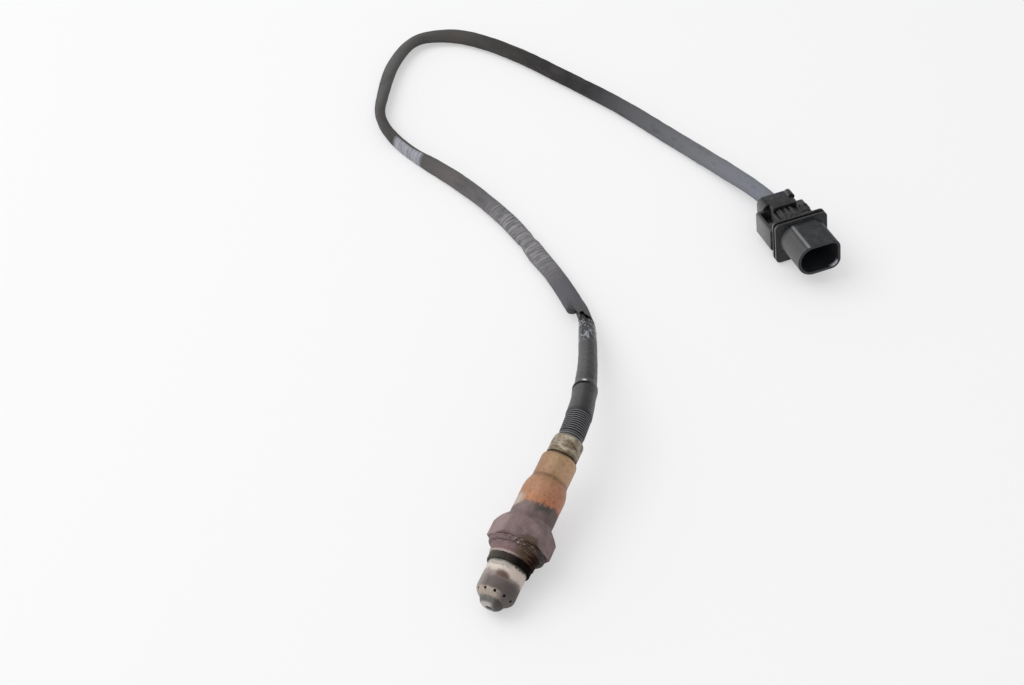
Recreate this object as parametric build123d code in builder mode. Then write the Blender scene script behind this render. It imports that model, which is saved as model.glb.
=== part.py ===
from build123d import *
from math import acos, atan2, cos, hypot, pi, radians, sin, tan
import os

# Wideband exhaust oxygen sensor with a lead and a six-way connector, in millimetres.
# The part lies on the plane Z = 0.  +X points from the lead towards the sensor's tip, and the
# origin is under the middle of the sensor head.  Stations on the sensor axis count from the
# front face of the sealing ring: forward to the tip is positive, back to the lead is negative.

os.makedirs("parts", exist_ok=True)

# ---- clearances ----
fit_clearance = 0.1          # radial, between turned pieces that slide together
slot_clearance = 0.1         # around the flat ceramic element and the contacts
overrun = 1.0                # extra length of cuts and joints that must pass right through

# ---- threaded shell ----
thread_diameter = 18.0       # M18 x 1.5
thread_rear = 0.3
thread_front = 3.9
thread_chamfer = 0.5
relief_diameter = 16.4       # turned relief behind the thread, which keeps the sealing ring captive
lip_diameter = 17.1          # plain rim in front of the thread, rolled over the protection tube
lip_length = 2.8
lip_rounding = 0.5
hex_across_flats = 22.0
hex_length = 6.3             # between the front face and the end of the corners
hex_front_circle = 22.6      # diameter where the front chamfer starts
hex_front_chamfer = 15.0     # degrees to the face
hex_rear_chamfer = 39.0      # degrees to the axis
shell_neck_diameter = 17.2   # where the rear cone of the hexagon ends
shell_spigot_length = 4.5    # turned end that the protective sleeve is welded over
shell_wall = 2.2
shell_front_bore = 9.6

# ---- sealing ring ----
ring_thickness = 2.1
ring_outer_diameter = 22.5
ring_rounding = 0.7
ring_face_clearance = 0.25   # between the thread and the ring's front face
ring_inner_bevel = 0.5       # depth of the bevel from that face to the bore

# ---- protection tubes ----
tube_diameter = 15.2
tube_wall = 0.5
tube_tip = 23.0
tube_shoulder = 16.8         # station where the tube starts to round over
tube_shoulder_radius = 3.0
tube_shoulder_turn = 45.0    # degrees of the round before the cone
nose_base = 20.45            # station where the domed nose stands on the cone
nose_diameter = 9.6
nose_rounding = 2.4          # from the nose's side to its flat end
nose_bulge = 0.58            # how far the dome stands off its chord
nose_hole = 2.8
tube_socket = 1.5            # depth that both tubes sit in the lip
gas_hole_count = 11
gas_hole_diameter = 1.15
gas_hole_turn = 16.0         # degrees from the side to the first gas hole
gas_hole_slope = 36.0        # degrees that the drill leans to the tip
inner_tube_diameter = 9.4
inner_tube_length = 13.0
inner_tube_rounding = 1.6
inner_hole_count = 6
inner_hole_diameter = 1.4
inner_hole_setback = 4.3     # from the inner tube's end

# ---- sensing element and its packing ----
element_width = 4.2
element_thickness = 1.3
element_front = 15.5
element_tail = 1.0           # that the element reaches past the contact holder
element_chamfer = 0.25
packing_front = -1.0
front_bush_length = 3.5
powder_length = 4.5
rear_bush_length = 8.0

# ---- protective sleeve ----
sleeve_wall = 0.6
sleeve_lower_length = 13.2
sleeve_step_length = 5.0
sleeve_upper_diameter = 14.4
sleeve_upper_length = 9.94
sleeve_end_rounding = 1.4

# ---- contacts ----
holder_diameter = 11.0
holder_length = 12.0
holder_gap = 1.5             # behind the rear bush
holder_slot_height = 3.6
holder_chamfer = 0.5
clamp_length = 6.0
clamp_wall = 0.5
clamp_setback = 3.0          # behind the holder's front face
clamp_slit = 1.6
contact_width = 0.9
contact_thickness = 0.35
contact_pitch = 1.35
contact_overlap = 8.0        # length of the element that the contacts grip
contact_tail = 0.2           # that the contacts reach past the element's rear end
upper_contact_count = 3
lower_contact_count = 2
crimp_diameter = 1.9
wire_diameter = 1.5
wire_count = 5
wire_circle = 4.6            # pitch circle of the wires in the grommet
wire_space = 0.25            # between the wires and the bore of the boot

# ---- grommet, collar and boot ----
collar_gap = 0.8             # open groove between sleeve and collar
collar_wall = 1.65
collar_length = 8.0
collar_shoulder = 0.55       # step from the collar to its spigot in the sleeve
collar_taper = 0.55          # how far the radius falls towards the boot
collar_taper_length = 1.0
collar_spigot = 1.8          # depth of the collar's front end in the sleeve
grommet_flange_length = 3.0
boot_root_length = 4.4       # inside the collar
boot_root_clearance = 0.2    # between the boot's root and the collar
boot_wall = 1.1
boot_band_height = 0.45      # over the boot's core
boot_band_length = 1.2
rib_height = 0.45
rib_count = 10
rib_pitch = 1.06
rib_width = 0.56
rib_taper = 20.0             # degrees that the flanks of a rib lean
boot_tail_length = 8.0
boot_rim_height = 0.1
boot_rim_length = 1.2
boot_bend_run = 14.3         # from the root to the corner of the boot's bend

# ---- lead ----
cable_diameter = 7.0
shrink_wall = 0.4            # over the boot's tail
shrink_fold = 0.3            # how far the sleeve stands off the rim of the boot
shrink_waist_diameter = 7.9
# radius of the shrink sleeve over that of its waist, by the fraction of its route behind the boot
shrink_swell = [
    (0.19, 0.8),
    (0.225, 1.2),
    (0.275, 1.2),
    (0.32, 0.6),
    (0.37, 0.4),
    (0.46, 0.0),
    (0.57, 0.0),
    (0.68, 0.0),
    (0.80, -0.1),
    (0.92, -0.3),
]
# route of the shrink sleeve behind the boot; its end point is the lead's first point
shrink_route = [(-61, -7.3, 19.0), (-82.8, -15.9, 12.6), (-97.44, -22.4, 8.48)]
# route of the lead: down to the floor, round its loop and up into the connector
cable_route = [
    (-103.6, -28, 7.2),
    (-119, -42, 4.0),
    (-135, -63.5, 3.6),
    (-152.5, -87.5, 3.6),
    (-165.5, -117.5, 3.6),
    (-175.5, -151, 3.6),
    (-191, -172.5, 3.6),
    (-210.5, -181.5, 3.6),
    (-234, -187.5, 3.6),
    (-259, -188.5, 3.6),
    (-270.5, -177, 3.6),
    (-272.5, -160.5, 3.6),
    (-269.5, -134, 3.6),
    (-260.5, -103.5, 3.6),
    (-251, -70, 3.6),
    (-238, -38, 3.6),
    (-226.5, -9, 4.0),
    (-210.7, 19, 8.05),
    (-204.05, 24.94, 9.3),
]

# ---- connector ----
# Its own frame starts where the lead enters: x to the right, y up and z out through the shroud.
connector_roll = 6.1         # degrees that the right side is raised
cover_width = 16.5
cover_height = 13.7
cover_x = -0.25
cover_y = 0.15
cover_depth = 7.5
cover_corner = 3.5
cover_rounding = 1.4
cover_wall = 1.4
deck_left = -5.0
deck_right = 6.2
deck_length = 4.0            # the cover's tongue over the body
nub_diameter = 3.4
nub_length = 4.5
nub_start = 1.5
chamber_corner = 1.0
body_width = 23.1
body_height = 11.2
body_x = -0.25
body_y = -1.1
body_corner = 1.2
flange_width = 24.8
flange_height = 20.3
flange_x = 1.5
flange_y = -1.5
flange_corner = 2.2
flange_plate = 1.2
flange_groove = 1.3
flange_groove_depth = 1.5
body_length = 15.4
shroud_width = 20.0
shroud_height = 15.2
shroud_x = 1.5
shroud_y = -0.8
shroud_left_corner = 7.4
shroud_right_corner = 4.5
shroud_wall = 1.4
shroud_length = 17.9
cavity_floor_depth = 1.0     # the cavity's floor lies this far behind the front plate's face
window_left = -10.3
window_width = 5.3
window_length = 8.5
window_depth = 5.0
window_start = 1.5           # from the cover's front face
tab_ring_length = 5.2
tab_ring_width = 2.0
tab_ring_height = 0.5
tab_ring_line = 0.5
tab_ring_space = 0.4
tab_ring_x = 8.6
tab_ring_start = 6.5         # from the cover's front face to the rings' middle
chamber_left = -4.2
chamber_width = 12.8
chamber_height = 8.0
chamber_depth = 9.0
lock_left = -3.6
lock_width = 7.6
lock_length = 8.6
lock_height = 1.1
lock_groove = 0.6
lock_rib_width = 0.8
lock_rib_count = 3
lock_rib_setback = 1.0
pin_count_x = 3
pin_count_y = 2
pin_pitch_x = 3.8
pin_pitch_y = 4.2
pin_width = 1.5
pin_thickness = 0.64
pin_reach = 8.0
pin_root = 3.0
pin_point = 0.25
seal_length = 4.5
seal_hole = 2.0
seal_row_pitch = 3.7
resistor_length = 3.2
resistor_width = 2.4
resistor_thickness = 1.2

# ---- how the head lies ----
seat_x = 23.4                # the sealing ring's front face is this far ahead of the origin
hex_roll = 7.5               # degrees that the hexagon is turned from flat


def arc_radii(points):
    """Radius of the arc at each inner point: 0.45 of the shorter run over tan(half the turn)."""
    radii = []
    for before, here, after in zip(points, points[1:], points[2:]):
        run_in = Vector(*here) - Vector(*before)
        run_out = Vector(*after) - Vector(*here)
        half_turn = radians(run_in.get_angle(run_out)) / 2
        radii.append(0.45 * min(run_in.length, run_out.length) / tan(half_turn))
    return radii


# ---- attitude of the head: it rests on one corner of the hexagon and on the tube's shoulder ----
hex_corner_radius = hex_across_flats / 2 / cos(radians(30))
hex_front = -ring_thickness
front_chamfer_width = hex_corner_radius - hex_front_circle / 2
hex_corner_front = hex_front - front_chamfer_width * tan(radians(hex_front_chamfer))
hex_corner_rear = hex_front - hex_length
corner_drop = hex_corner_radius * sin(radians(60 + hex_roll))
shoulder_drop = corner_drop - tube_diameter / 2 + tube_shoulder_radius
contact_span = tube_shoulder - hex_corner_front
wedge = acos(tube_shoulder_radius / hypot(shoulder_drop, contact_span))
lean = wedge - atan2(contact_span, shoulder_drop)
seat_z = corner_drop * cos(lean) + hex_corner_front * sin(lean)

seat_point = Vector(seat_x, 0, seat_z)
tip_direction = Vector(cos(lean), 0, -sin(lean))
up_direction = Vector(sin(lean), 0, cos(lean))
side_direction = Vector(0, 1, 0)
sensor_axis = Axis(seat_point, tip_direction)
# local x is the radius and local y the station
profile_plane = Plane(origin=seat_point, x_dir=up_direction, z_dir=up_direction.cross(tip_direction))


def station_point(station):
    return seat_point + tip_direction * station


def across(station):
    """Plane square to the sensor axis; its normal points to the tip and its x to the side."""
    return Plane(origin=station_point(station), x_dir=side_direction, z_dir=tip_direction)


def square_to(path, fraction):
    """Plane square to a path at a fraction of its length, with a level x."""
    heading = path % fraction
    return Plane(origin=path @ fraction, x_dir=Vector(0, 0, 1).cross(heading), z_dir=heading)


def outline(points):
    """Half section of a turned piece, from (radius, station) corners."""
    with BuildSketch(profile_plane) as half_section:
        with BuildLine():
            Polyline(*points, close=True)
        make_face()
    return half_section.sketch


def ring(outer_radius, inner_radius, rear, front):
    """Half section of a plain ring between two stations."""
    return outline([(inner_radius, rear), (outer_radius, rear), (outer_radius, front), (inner_radius, front)])


written = []


def save(piece, name):
    piece.part.label = name
    export_step(piece.part, f"parts/{name}.step")
    written.append(name)


# ======================= sensor head =======================
neck_radius = shell_neck_diameter / 2
cone_length = (hex_corner_radius - neck_radius) / tan(radians(hex_rear_chamfer))
shell_shoulder = hex_corner_rear - cone_length
spigot_radius = neck_radius - sleeve_wall - fit_clearance
shell_rear = shell_shoulder - shell_spigot_length
packing_radius = spigot_radius - shell_wall
lip_front = thread_front + lip_length
tube_radius = tube_diameter / 2
socket_floor = lip_front - tube_socket
thread_radius = thread_diameter / 2
relief_radius = relief_diameter / 2

with BuildPart() as hex_shell:
    with BuildSketch(across(shell_shoulder)):
        RegularPolygon(hex_corner_radius, 6, rotation=-hex_roll)
    extrude(amount=hex_front - shell_shoulder)
    # the turned envelope gives the hexagon its front chamfer and its long rear cone
    revolve(
        outline([
            (0, shell_shoulder),
            (neck_radius, shell_shoulder),
            (hex_corner_radius, hex_corner_rear),
            (hex_corner_radius, hex_corner_front),
            (hex_front_circle / 2, hex_front),
            (0, hex_front),
        ]),
        axis=sensor_axis,
        mode=Mode.INTERSECT,
    )
    # threaded front with its relief, then the plain lip
    revolve(
        outline([
            (0, hex_front),
            (relief_radius, hex_front),
            (relief_radius, thread_rear),
            (thread_radius, thread_rear),
            (thread_radius, thread_front - thread_chamfer),
            (lip_diameter / 2, thread_front),
            (lip_diameter / 2, lip_front - lip_rounding),
            (lip_diameter / 2 - lip_rounding, lip_front),
            (0, lip_front),
        ]),
        axis=sensor_axis,
    )
    # rear spigot
    revolve(ring(spigot_radius, 0, shell_rear, shell_shoulder), axis=sensor_axis)
    # packing bore, element bore and the socket of the protection tubes
    revolve(ring(packing_radius, 0, shell_rear, packing_front), axis=sensor_axis, mode=Mode.SUBTRACT)
    revolve(ring(shell_front_bore / 2, 0, packing_front, lip_front), axis=sensor_axis, mode=Mode.SUBTRACT)
    socket = ring(tube_radius + fit_clearance, 0, socket_floor, lip_front)
    revolve(socket, axis=sensor_axis, mode=Mode.SUBTRACT)
save(hex_shell, "hex_shell")

ring_bore_radius = relief_radius + fit_clearance
with BuildPart() as seal_ring:
    revolve(
        outline([
            (ring_bore_radius, hex_front),
            (ring_outer_diameter / 2, hex_front),
            (ring_outer_diameter / 2, 0),
            (thread_radius + ring_face_clearance, 0),
            (ring_bore_radius, -ring_inner_bevel),
        ]),
        axis=sensor_axis,
    )
    rim = seal_ring.edges().filter_by(GeomType.CIRCLE).sort_by(SortBy.RADIUS)[-2:]
    fillet(rim, radius=ring_rounding)
save(seal_ring, "seal_ring")

nose_radius = nose_diameter / 2
with BuildPart() as outer_protection_tube:
    with BuildSketch(profile_plane):
        with BuildLine():
            shoulder_centre = (tube_radius - tube_shoulder_radius, tube_shoulder)
            side = Line((tube_radius, socket_floor), (tube_radius, tube_shoulder))
            shoulder = CenterArc(shoulder_centre, tube_shoulder_radius, 0, tube_shoulder_turn)
            cone = Line(shoulder @ 1, (nose_radius, nose_base))
            nose_end = Vector(nose_radius - nose_rounding, tube_tip)
            dome_chord = nose_end - Vector(nose_radius, nose_base)
            dome_crest = nose_end - dome_chord / 2 + dome_chord.rotate(Axis.Z, -90).normalized() * nose_bulge
            dome = ThreePointArc(cone @ 1, dome_crest, nose_end)
            nose = Line(dome @ 1, (0, tube_tip))
            middle = Line(nose @ 1, (0, socket_floor))
            Line(middle @ 1, side @ 0)
        make_face()
    revolve(axis=sensor_axis)
    base = outer_protection_tube.faces().sort_by(sensor_axis)[0]
    offset(amount=-tube_wall, openings=base)
    with Locations(across(tube_tip + overrun)):
        Hole(nose_hole / 2, depth=2 * overrun + tube_wall)
    # ring of gas holes, drilled square to the shoulder
    slope = radians(gas_hole_slope)
    shoulder_radius_here = tube_radius - tube_shoulder_radius + tube_shoulder_radius * cos(slope)
    shoulder_station_here = tube_shoulder + tube_shoulder_radius * sin(slope)
    for n in range(gas_hole_count):
        turn = radians(gas_hole_turn + 360 / gas_hole_count * n)
        outward = side_direction * cos(turn) + up_direction * sin(turn)
        drill = outward * cos(slope) + tip_direction * sin(slope)
        wall_point = station_point(shoulder_station_here) + outward * shoulder_radius_here
        with Locations(Plane(origin=wall_point + drill * overrun, z_dir=drill)):
            Hole(gas_hole_diameter / 2, depth=2 * overrun + tube_wall)
save(outer_protection_tube, "outer_protection_tube")

inner_radius = inner_tube_diameter / 2
inner_tip = socket_floor + inner_tube_length
with BuildPart() as inner_protection_tube:
    revolve(ring(inner_radius, 0, socket_floor, inner_tip), axis=sensor_axis)
    end_edge = inner_protection_tube.edges().filter_by(GeomType.CIRCLE).sort_by(sensor_axis)[-1]
    fillet(end_edge, radius=inner_tube_rounding)
    # flange that the outer tube clamps on the socket's floor
    inner_flange_radius = tube_radius - tube_wall - fit_clearance
    revolve(ring(inner_flange_radius, 0, socket_floor, socket_floor + tube_wall), axis=sensor_axis)
    inside = ring(inner_radius - tube_wall, 0, socket_floor, inner_tip - tube_wall)
    revolve(inside, axis=sensor_axis, mode=Mode.SUBTRACT)
    for n in range(inner_hole_count):
        turn = radians(360 / inner_hole_count * n)
        outward = side_direction * cos(turn) + up_direction * sin(turn)
        entry = station_point(inner_tip - inner_hole_setback) + outward * (inner_radius + overrun)
        with Locations(Plane(origin=entry, z_dir=outward)):
            Hole(inner_hole_diameter / 2, depth=2 * overrun + tube_wall)
save(inner_protection_tube, "inner_protection_tube")

front_bush_rear = packing_front - front_bush_length
powder_rear = front_bush_rear - powder_length
rear_bush_rear = powder_rear - rear_bush_length
holder_front = rear_bush_rear - holder_gap
holder_rear = holder_front - holder_length
element_rear = holder_rear - element_tail
with BuildPart() as sensing_element:
    with BuildSketch(across(element_rear)):
        Rectangle(element_width, element_thickness)
    extrude(amount=element_front - element_rear)
    tip_edges = sensing_element.faces().sort_by(sensor_axis)[-1].edges()
    chamfer(tip_edges, length=element_chamfer)
save(sensing_element, "sensing_element")


element_slot_width = element_width + 2 * slot_clearance
element_slot_height = element_thickness + 2 * slot_clearance


def packing_disc(rear, front):
    """Disc that fills the packing bore around the ceramic element."""
    with BuildPart() as disc:
        with BuildSketch(across(rear)):
            Circle(packing_radius - fit_clearance)
            Rectangle(element_slot_width, element_slot_height, mode=Mode.SUBTRACT)
        extrude(amount=front - rear)
    return disc


front_ceramic_bush = packing_disc(front_bush_rear, packing_front)
save(front_ceramic_bush, "front_ceramic_bush")
powder_packing = packing_disc(powder_rear, front_bush_rear)
save(powder_packing, "powder_packing")
rear_ceramic_bush = packing_disc(rear_bush_rear, powder_rear)
save(rear_ceramic_bush, "rear_ceramic_bush")

# the wires give the boot its bore, the boot gives the collar its bore, and so on outwards
boot_bore = wire_circle + wire_diameter + 2 * wire_space
boot_core_diameter = boot_bore + 2 * boot_wall
boot_band_diameter = boot_core_diameter + 2 * boot_band_height
rib_diameter = boot_core_diameter + 2 * rib_height
boot_rim_diameter = boot_core_diameter + 2 * boot_rim_height
collar_bore = boot_core_diameter + 2 * boot_root_clearance
collar_diameter = collar_bore + 2 * collar_wall

lower_radius = neck_radius
upper_radius = sleeve_upper_diameter / 2
sleeve_front = shell_shoulder
step_front = sleeve_front - sleeve_lower_length
step_rear = step_front - sleeve_step_length
sleeve_end = step_rear - sleeve_upper_length
collar_spigot_radius = collar_diameter / 2 - collar_shoulder
mouth_radius = collar_spigot_radius + fit_clearance
with BuildPart() as protective_sleeve:
    with BuildSketch(profile_plane):
        with BuildLine():
            lower = Line((lower_radius, sleeve_front), (lower_radius, step_front))
            step = Spline(
                lower @ 1,
                (upper_radius, step_rear),
                tangents=[(0, -1), (0, -1)],
            )
            upper = Line(step @ 1, (upper_radius, sleeve_end + sleeve_end_rounding))
            rolled_end = (mouth_radius + sleeve_wall, sleeve_end)
            roll = Spline(upper @ 1, rolled_end, tangents=[(0, -1), (-1, -0.6)])
            end = Line(roll @ 1, (0, sleeve_end))
            middle = Line(end @ 1, (0, sleeve_front))
            Line(middle @ 1, lower @ 0)
        make_face()
    revolve(axis=sensor_axis)
    ends = protective_sleeve.faces().filter_by(GeomType.PLANE).sort_by(sensor_axis)
    offset(amount=-sleeve_wall, openings=[ends[0], ends[-1]])
save(protective_sleeve, "protective_sleeve")

holder_radius = holder_diameter / 2
with BuildPart() as contact_holder:
    with BuildSketch(across(holder_rear)):
        Circle(holder_radius)
        Rectangle(element_slot_width, holder_slot_height, mode=Mode.SUBTRACT)
    extrude(amount=holder_length)
    holder_rims = contact_holder.edges().filter_by(GeomType.CIRCLE)
    chamfer(holder_rims, length=holder_chamfer)
save(contact_holder, "contact_holder")

with BuildPart() as holder_clamp:
    clamp_inner = holder_radius + fit_clearance
    with BuildSketch(across(holder_front - clamp_setback - clamp_length)):
        Circle(clamp_inner + clamp_wall)
        Circle(clamp_inner, mode=Mode.SUBTRACT)
        with Locations((0, -clamp_inner)):
            Rectangle(clamp_slit, holder_radius, mode=Mode.SUBTRACT)
    extrude(amount=clamp_length)
save(holder_clamp, "holder_clamp")

contact_rear = element_rear - contact_tail
contact_height = (element_thickness + contact_thickness) / 2 + slot_clearance
with BuildPart() as contact_springs:
    with BuildSketch(across(contact_rear)):
        with Locations((0, contact_height)):
            with GridLocations(contact_pitch, 1, upper_contact_count, 1):
                Rectangle(contact_width, contact_thickness)
        with Locations((0, -contact_height)):
            with GridLocations(contact_pitch, 1, lower_contact_count, 1):
                Rectangle(contact_width, contact_thickness)
    extrude(amount=element_rear + contact_overlap - contact_rear)
save(contact_springs, "contact_springs")

spigot_front = sleeve_end + collar_spigot
grommet_front = spigot_front + grommet_flange_length
crimp_rear = grommet_front + fit_clearance
with BuildPart() as wire_crimps:
    with BuildSketch(across(crimp_rear)):
        with PolarLocations(wire_circle / 2, wire_count, start_angle=90):
            Circle(crimp_diameter / 2)
    extrude(amount=contact_rear - crimp_rear)
save(wire_crimps, "wire_crimps")

# ======================= grommet, collar and boot =======================
collar_front = sleeve_end - collar_gap
collar_rear = collar_front - collar_length
bore_radius = collar_bore / 2
boot_root = collar_rear + boot_root_length

with BuildPart() as crimp_collar:
    revolve(
        outline([
            (bore_radius, spigot_front),
            (collar_spigot_radius, spigot_front),
            (collar_spigot_radius, collar_front),
            (collar_diameter / 2, collar_front),
            (collar_diameter / 2, collar_rear + collar_taper_length),
            (collar_diameter / 2 - collar_taper, collar_rear),
            (bore_radius, collar_rear),
        ]),
        axis=sensor_axis,
    )
    collar_edges = crimp_collar.edges().filter_by(GeomType.CIRCLE).sort_by(SortBy.RADIUS)[-2:]
    fillet(collar_edges, radius=collar_gap / 2)
save(crimp_collar, "crimp_collar")

flange_radius = upper_radius - sleeve_wall - fit_clearance
grommet_radius = bore_radius - fit_clearance
with BuildPart() as cable_grommet:
    revolve(ring(flange_radius, 0, spigot_front, grommet_front), axis=sensor_axis)
    revolve(ring(grommet_radius, 0, boot_root, spigot_front), axis=sensor_axis)
    with Locations(across(grommet_front + overrun)):
        with PolarLocations(wire_circle / 2, wire_count, start_angle=90):
            Hole(wire_diameter / 2 + fit_clearance, depth=grommet_front - boot_root + 2 * overrun)
save(cable_grommet, "cable_grommet")

# The boot leaves the collar on the sensor axis and bends towards the lead.
boot_length = boot_root_length + boot_band_length + rib_count * rib_pitch + boot_tail_length
boot_corner = station_point(boot_root - boot_bend_run)
bend_direction = (Vector(*shrink_route[0]) - boot_corner).normalized()
boot_points = [
    tuple(station_point(boot_root)),
    tuple(boot_corner),
    tuple(boot_corner + bend_direction * (boot_length - boot_bend_run)),
]
with BuildLine() as boot_line:
    FilletPolyline(*boot_points, radius=arc_radii(boot_points)[0])
boot_path = boot_line.wires()[0]


def boot_plane(length):
    """Plane square to the boot at a length from its root."""
    return square_to(boot_path, length / boot_path.length)


ribs_start = boot_root_length + boot_band_length
ribs_end = ribs_start + rib_count * rib_pitch
with BuildPart() as corrugated_boot:
    with BuildSketch(boot_plane(0)):
        Circle(boot_core_diameter / 2)
    sweep(path=boot_path)
    # plain band against the collar, then the ribs
    with BuildSketch(boot_plane(boot_root_length)):
        Circle(boot_band_diameter / 2)
    extrude(amount=boot_band_length)
    for n in range(rib_count):
        with BuildSketch(boot_plane(ribs_start + (n + 0.5) * rib_pitch)):
            Circle(rib_diameter / 2)
        extrude(amount=rib_width / 2, both=True, taper=rib_taper)
    # rim at the end of the plain tail
    with BuildSketch(boot_plane(boot_path.length - boot_rim_length)):
        Circle(boot_rim_diameter / 2)
    extrude(amount=boot_rim_length)
    with BuildSketch(boot_plane(0)):
        Circle(boot_bore / 2)
    sweep(path=boot_path, mode=Mode.SUBTRACT)
save(corrugated_boot, "corrugated_boot")

with BuildPart() as sensor_wires:
    with BuildSketch(boot_plane(0)):
        with PolarLocations(wire_circle / 2, wire_count, start_angle=90):
            Circle(wire_diameter / 2)
    sweep(path=boot_path)
    with BuildSketch(boot_plane(0)):
        with PolarLocations(wire_circle / 2, wire_count, start_angle=90):
            Circle(wire_diameter / 2)
    extrude(amount=boot_root - crimp_rear)
save(sensor_wires, "sensor_wires")

# ======================= shrink sleeve and lead =======================
shrink_points = [boot_points[1], *shrink_route, cable_route[0]]
with BuildLine() as shrink_line:
    FilletPolyline(*shrink_points, radius=arc_radii(shrink_points))
shrink_path = shrink_line.wires()[0]
tail_radius = boot_core_diameter / 2 + shrink_wall
fold_radius = boot_rim_diameter / 2 + shrink_fold
shrink_on_boot = [
    (ribs_end, tail_radius),
    (boot_path.length - 3 * boot_rim_length, tail_radius),
    (boot_path.length - boot_rim_length, fold_radius),
    (boot_path.length, fold_radius),
]
waist_radius = shrink_waist_diameter / 2
shrink_on_lead = [(fraction, waist_radius + swell) for fraction, swell in shrink_swell]
shrink_on_lead.append((1.0, cable_diameter / 2))
with BuildPart() as heat_shrink_sleeve:
    for length, radius in shrink_on_boot:
        with BuildSketch(boot_plane(length)):
            Circle(radius)
    for fraction, radius in shrink_on_lead:
        with BuildSketch(square_to(shrink_path, fraction)):
            Circle(radius)
    loft(ruled=True)
    add(corrugated_boot.part, mode=Mode.SUBTRACT)
    with BuildSketch(boot_plane(0)):
        Circle(boot_bore / 2)
    sweep(path=boot_path, mode=Mode.SUBTRACT)
save(heat_shrink_sleeve, "heat_shrink_sleeve")

cable_radii = arc_radii(cable_route)
print("arc radii of the lead:", [round(radius, 1) for radius in cable_radii])
with BuildLine() as cable_line:
    FilletPolyline(*cable_route, radius=cable_radii)
cable_path = cable_line.wires()[0]
with BuildPart() as sensor_cable:
    with BuildSketch(square_to(cable_path, 0)):
        Circle(cable_diameter / 2)
    sweep(path=cable_path)
expected = pi * cable_diameter ** 2 / 4 * cable_path.length
print("lead length", round(cable_path.length, 1), "volume ratio", sensor_cable.part.volume / expected)
save(sensor_cable, "sensor_cable")

# ======================= connector =======================
entry_point = Vector(*cable_route[-1])
connector_direction = (entry_point - Vector(*cable_route[-2])).normalized()
level_side = Vector(0, 0, 1).cross(connector_direction).normalized()
upright = connector_direction.cross(level_side)
roll = radians(connector_roll)
connector_side = level_side * cos(roll) + upright * sin(roll)
connector_plane = Plane(origin=entry_point, x_dir=connector_side, z_dir=connector_direction)
connector_axis = Axis(entry_point, connector_direction)


def connector_at(depth):
    return connector_plane.offset(depth)


plate_rear = cover_depth + body_length
groove_rear = plate_rear + flange_plate
groove_front = groove_rear + flange_groove
plate_front = groove_front + flange_plate
shroud_front = plate_front + shroud_length
cavity_floor = plate_front - cavity_floor_depth
body_top = body_y + body_height / 2
cover_top = cover_y + cover_height / 2


def shroud_section(depth, inset):
    """Section of the shroud: nearly half round on its left, smaller corners on its right."""
    with BuildSketch(connector_at(depth)) as section:
        with Locations((shroud_x, shroud_y)):
            Rectangle(shroud_width - 2 * inset, shroud_height - 2 * inset)
        left = section.vertices().sort_by(Axis.X)[:2]
        fillet(left, radius=shroud_left_corner - inset)
        right = section.vertices().sort_by(Axis.X)[-2:]
        fillet(right, radius=shroud_right_corner - inset)
    return section.sketch


with BuildPart() as connector_housing:
    # body behind the flange
    with BuildSketch(connector_at(cover_depth)):
        with Locations((body_x, body_y)):
            RectangleRounded(body_width, body_height, body_corner)
    extrude(amount=body_length)
    # two flange plates with the bracket groove between them
    for depth in (plate_rear, groove_front):
        with BuildSketch(connector_at(depth)):
            with Locations((flange_x, flange_y)):
                RectangleRounded(flange_width, flange_height, flange_corner)
        extrude(amount=flange_plate)
    with BuildSketch(connector_at(groove_rear)):
        with Locations((flange_x, flange_y)):
            web_width = flange_width - 2 * flange_groove_depth
            web_height = flange_height - 2 * flange_groove_depth
            RectangleRounded(web_width, web_height, flange_corner)
    extrude(amount=flange_groove)
    # shroud with its cavity
    extrude(shroud_section(plate_front, 0), amount=shroud_length)
    cavity = shroud_section(cavity_floor, shroud_wall)
    extrude(cavity, amount=shroud_front - cavity_floor, mode=Mode.SUBTRACT)
    # deep window in the top left of the body
    with BuildSketch(connector_at(cover_depth + window_start)):
        with Locations((window_left + window_width / 2, body_top - window_depth / 2)):
            Rectangle(window_width, window_depth)
    extrude(amount=window_length, mode=Mode.SUBTRACT)
    # raised oval rings on the right of the top face
    rings_middle = Vector(tab_ring_x, body_top, cover_depth + tab_ring_start)
    ring_plane = Plane(
        origin=connector_plane.from_local_coords(rings_middle),
        x_dir=connector_direction,
        z_dir=connector_plane.y_dir,
    )
    with BuildSketch(ring_plane):
        with GridLocations(1, tab_ring_width + tab_ring_space, 1, 2):
            SlotOverall(tab_ring_length, tab_ring_width)
            inner_length = tab_ring_length - 2 * tab_ring_line
            SlotOverall(inner_length, tab_ring_width - 2 * tab_ring_line, mode=Mode.SUBTRACT)
    extrude(amount=tab_ring_height)
    # wire chamber behind, and the pockets that hold the pins
    with BuildSketch(connector_at(cover_depth)):
        with Locations((chamber_left + chamber_width / 2, body_y)):
            RectangleRounded(chamber_width, chamber_height, chamber_corner)
    extrude(amount=chamber_depth, mode=Mode.SUBTRACT)
    with BuildSketch(connector_at(cavity_floor - pin_root)):
        with Locations((shroud_x, shroud_y)):
            with GridLocations(pin_pitch_x, pin_pitch_y, pin_count_x, pin_count_y):
                Rectangle(pin_width + 2 * slot_clearance, pin_thickness + 2 * slot_clearance)
    extrude(amount=pin_root, mode=Mode.SUBTRACT)
save(connector_housing, "connector_housing")

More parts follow.
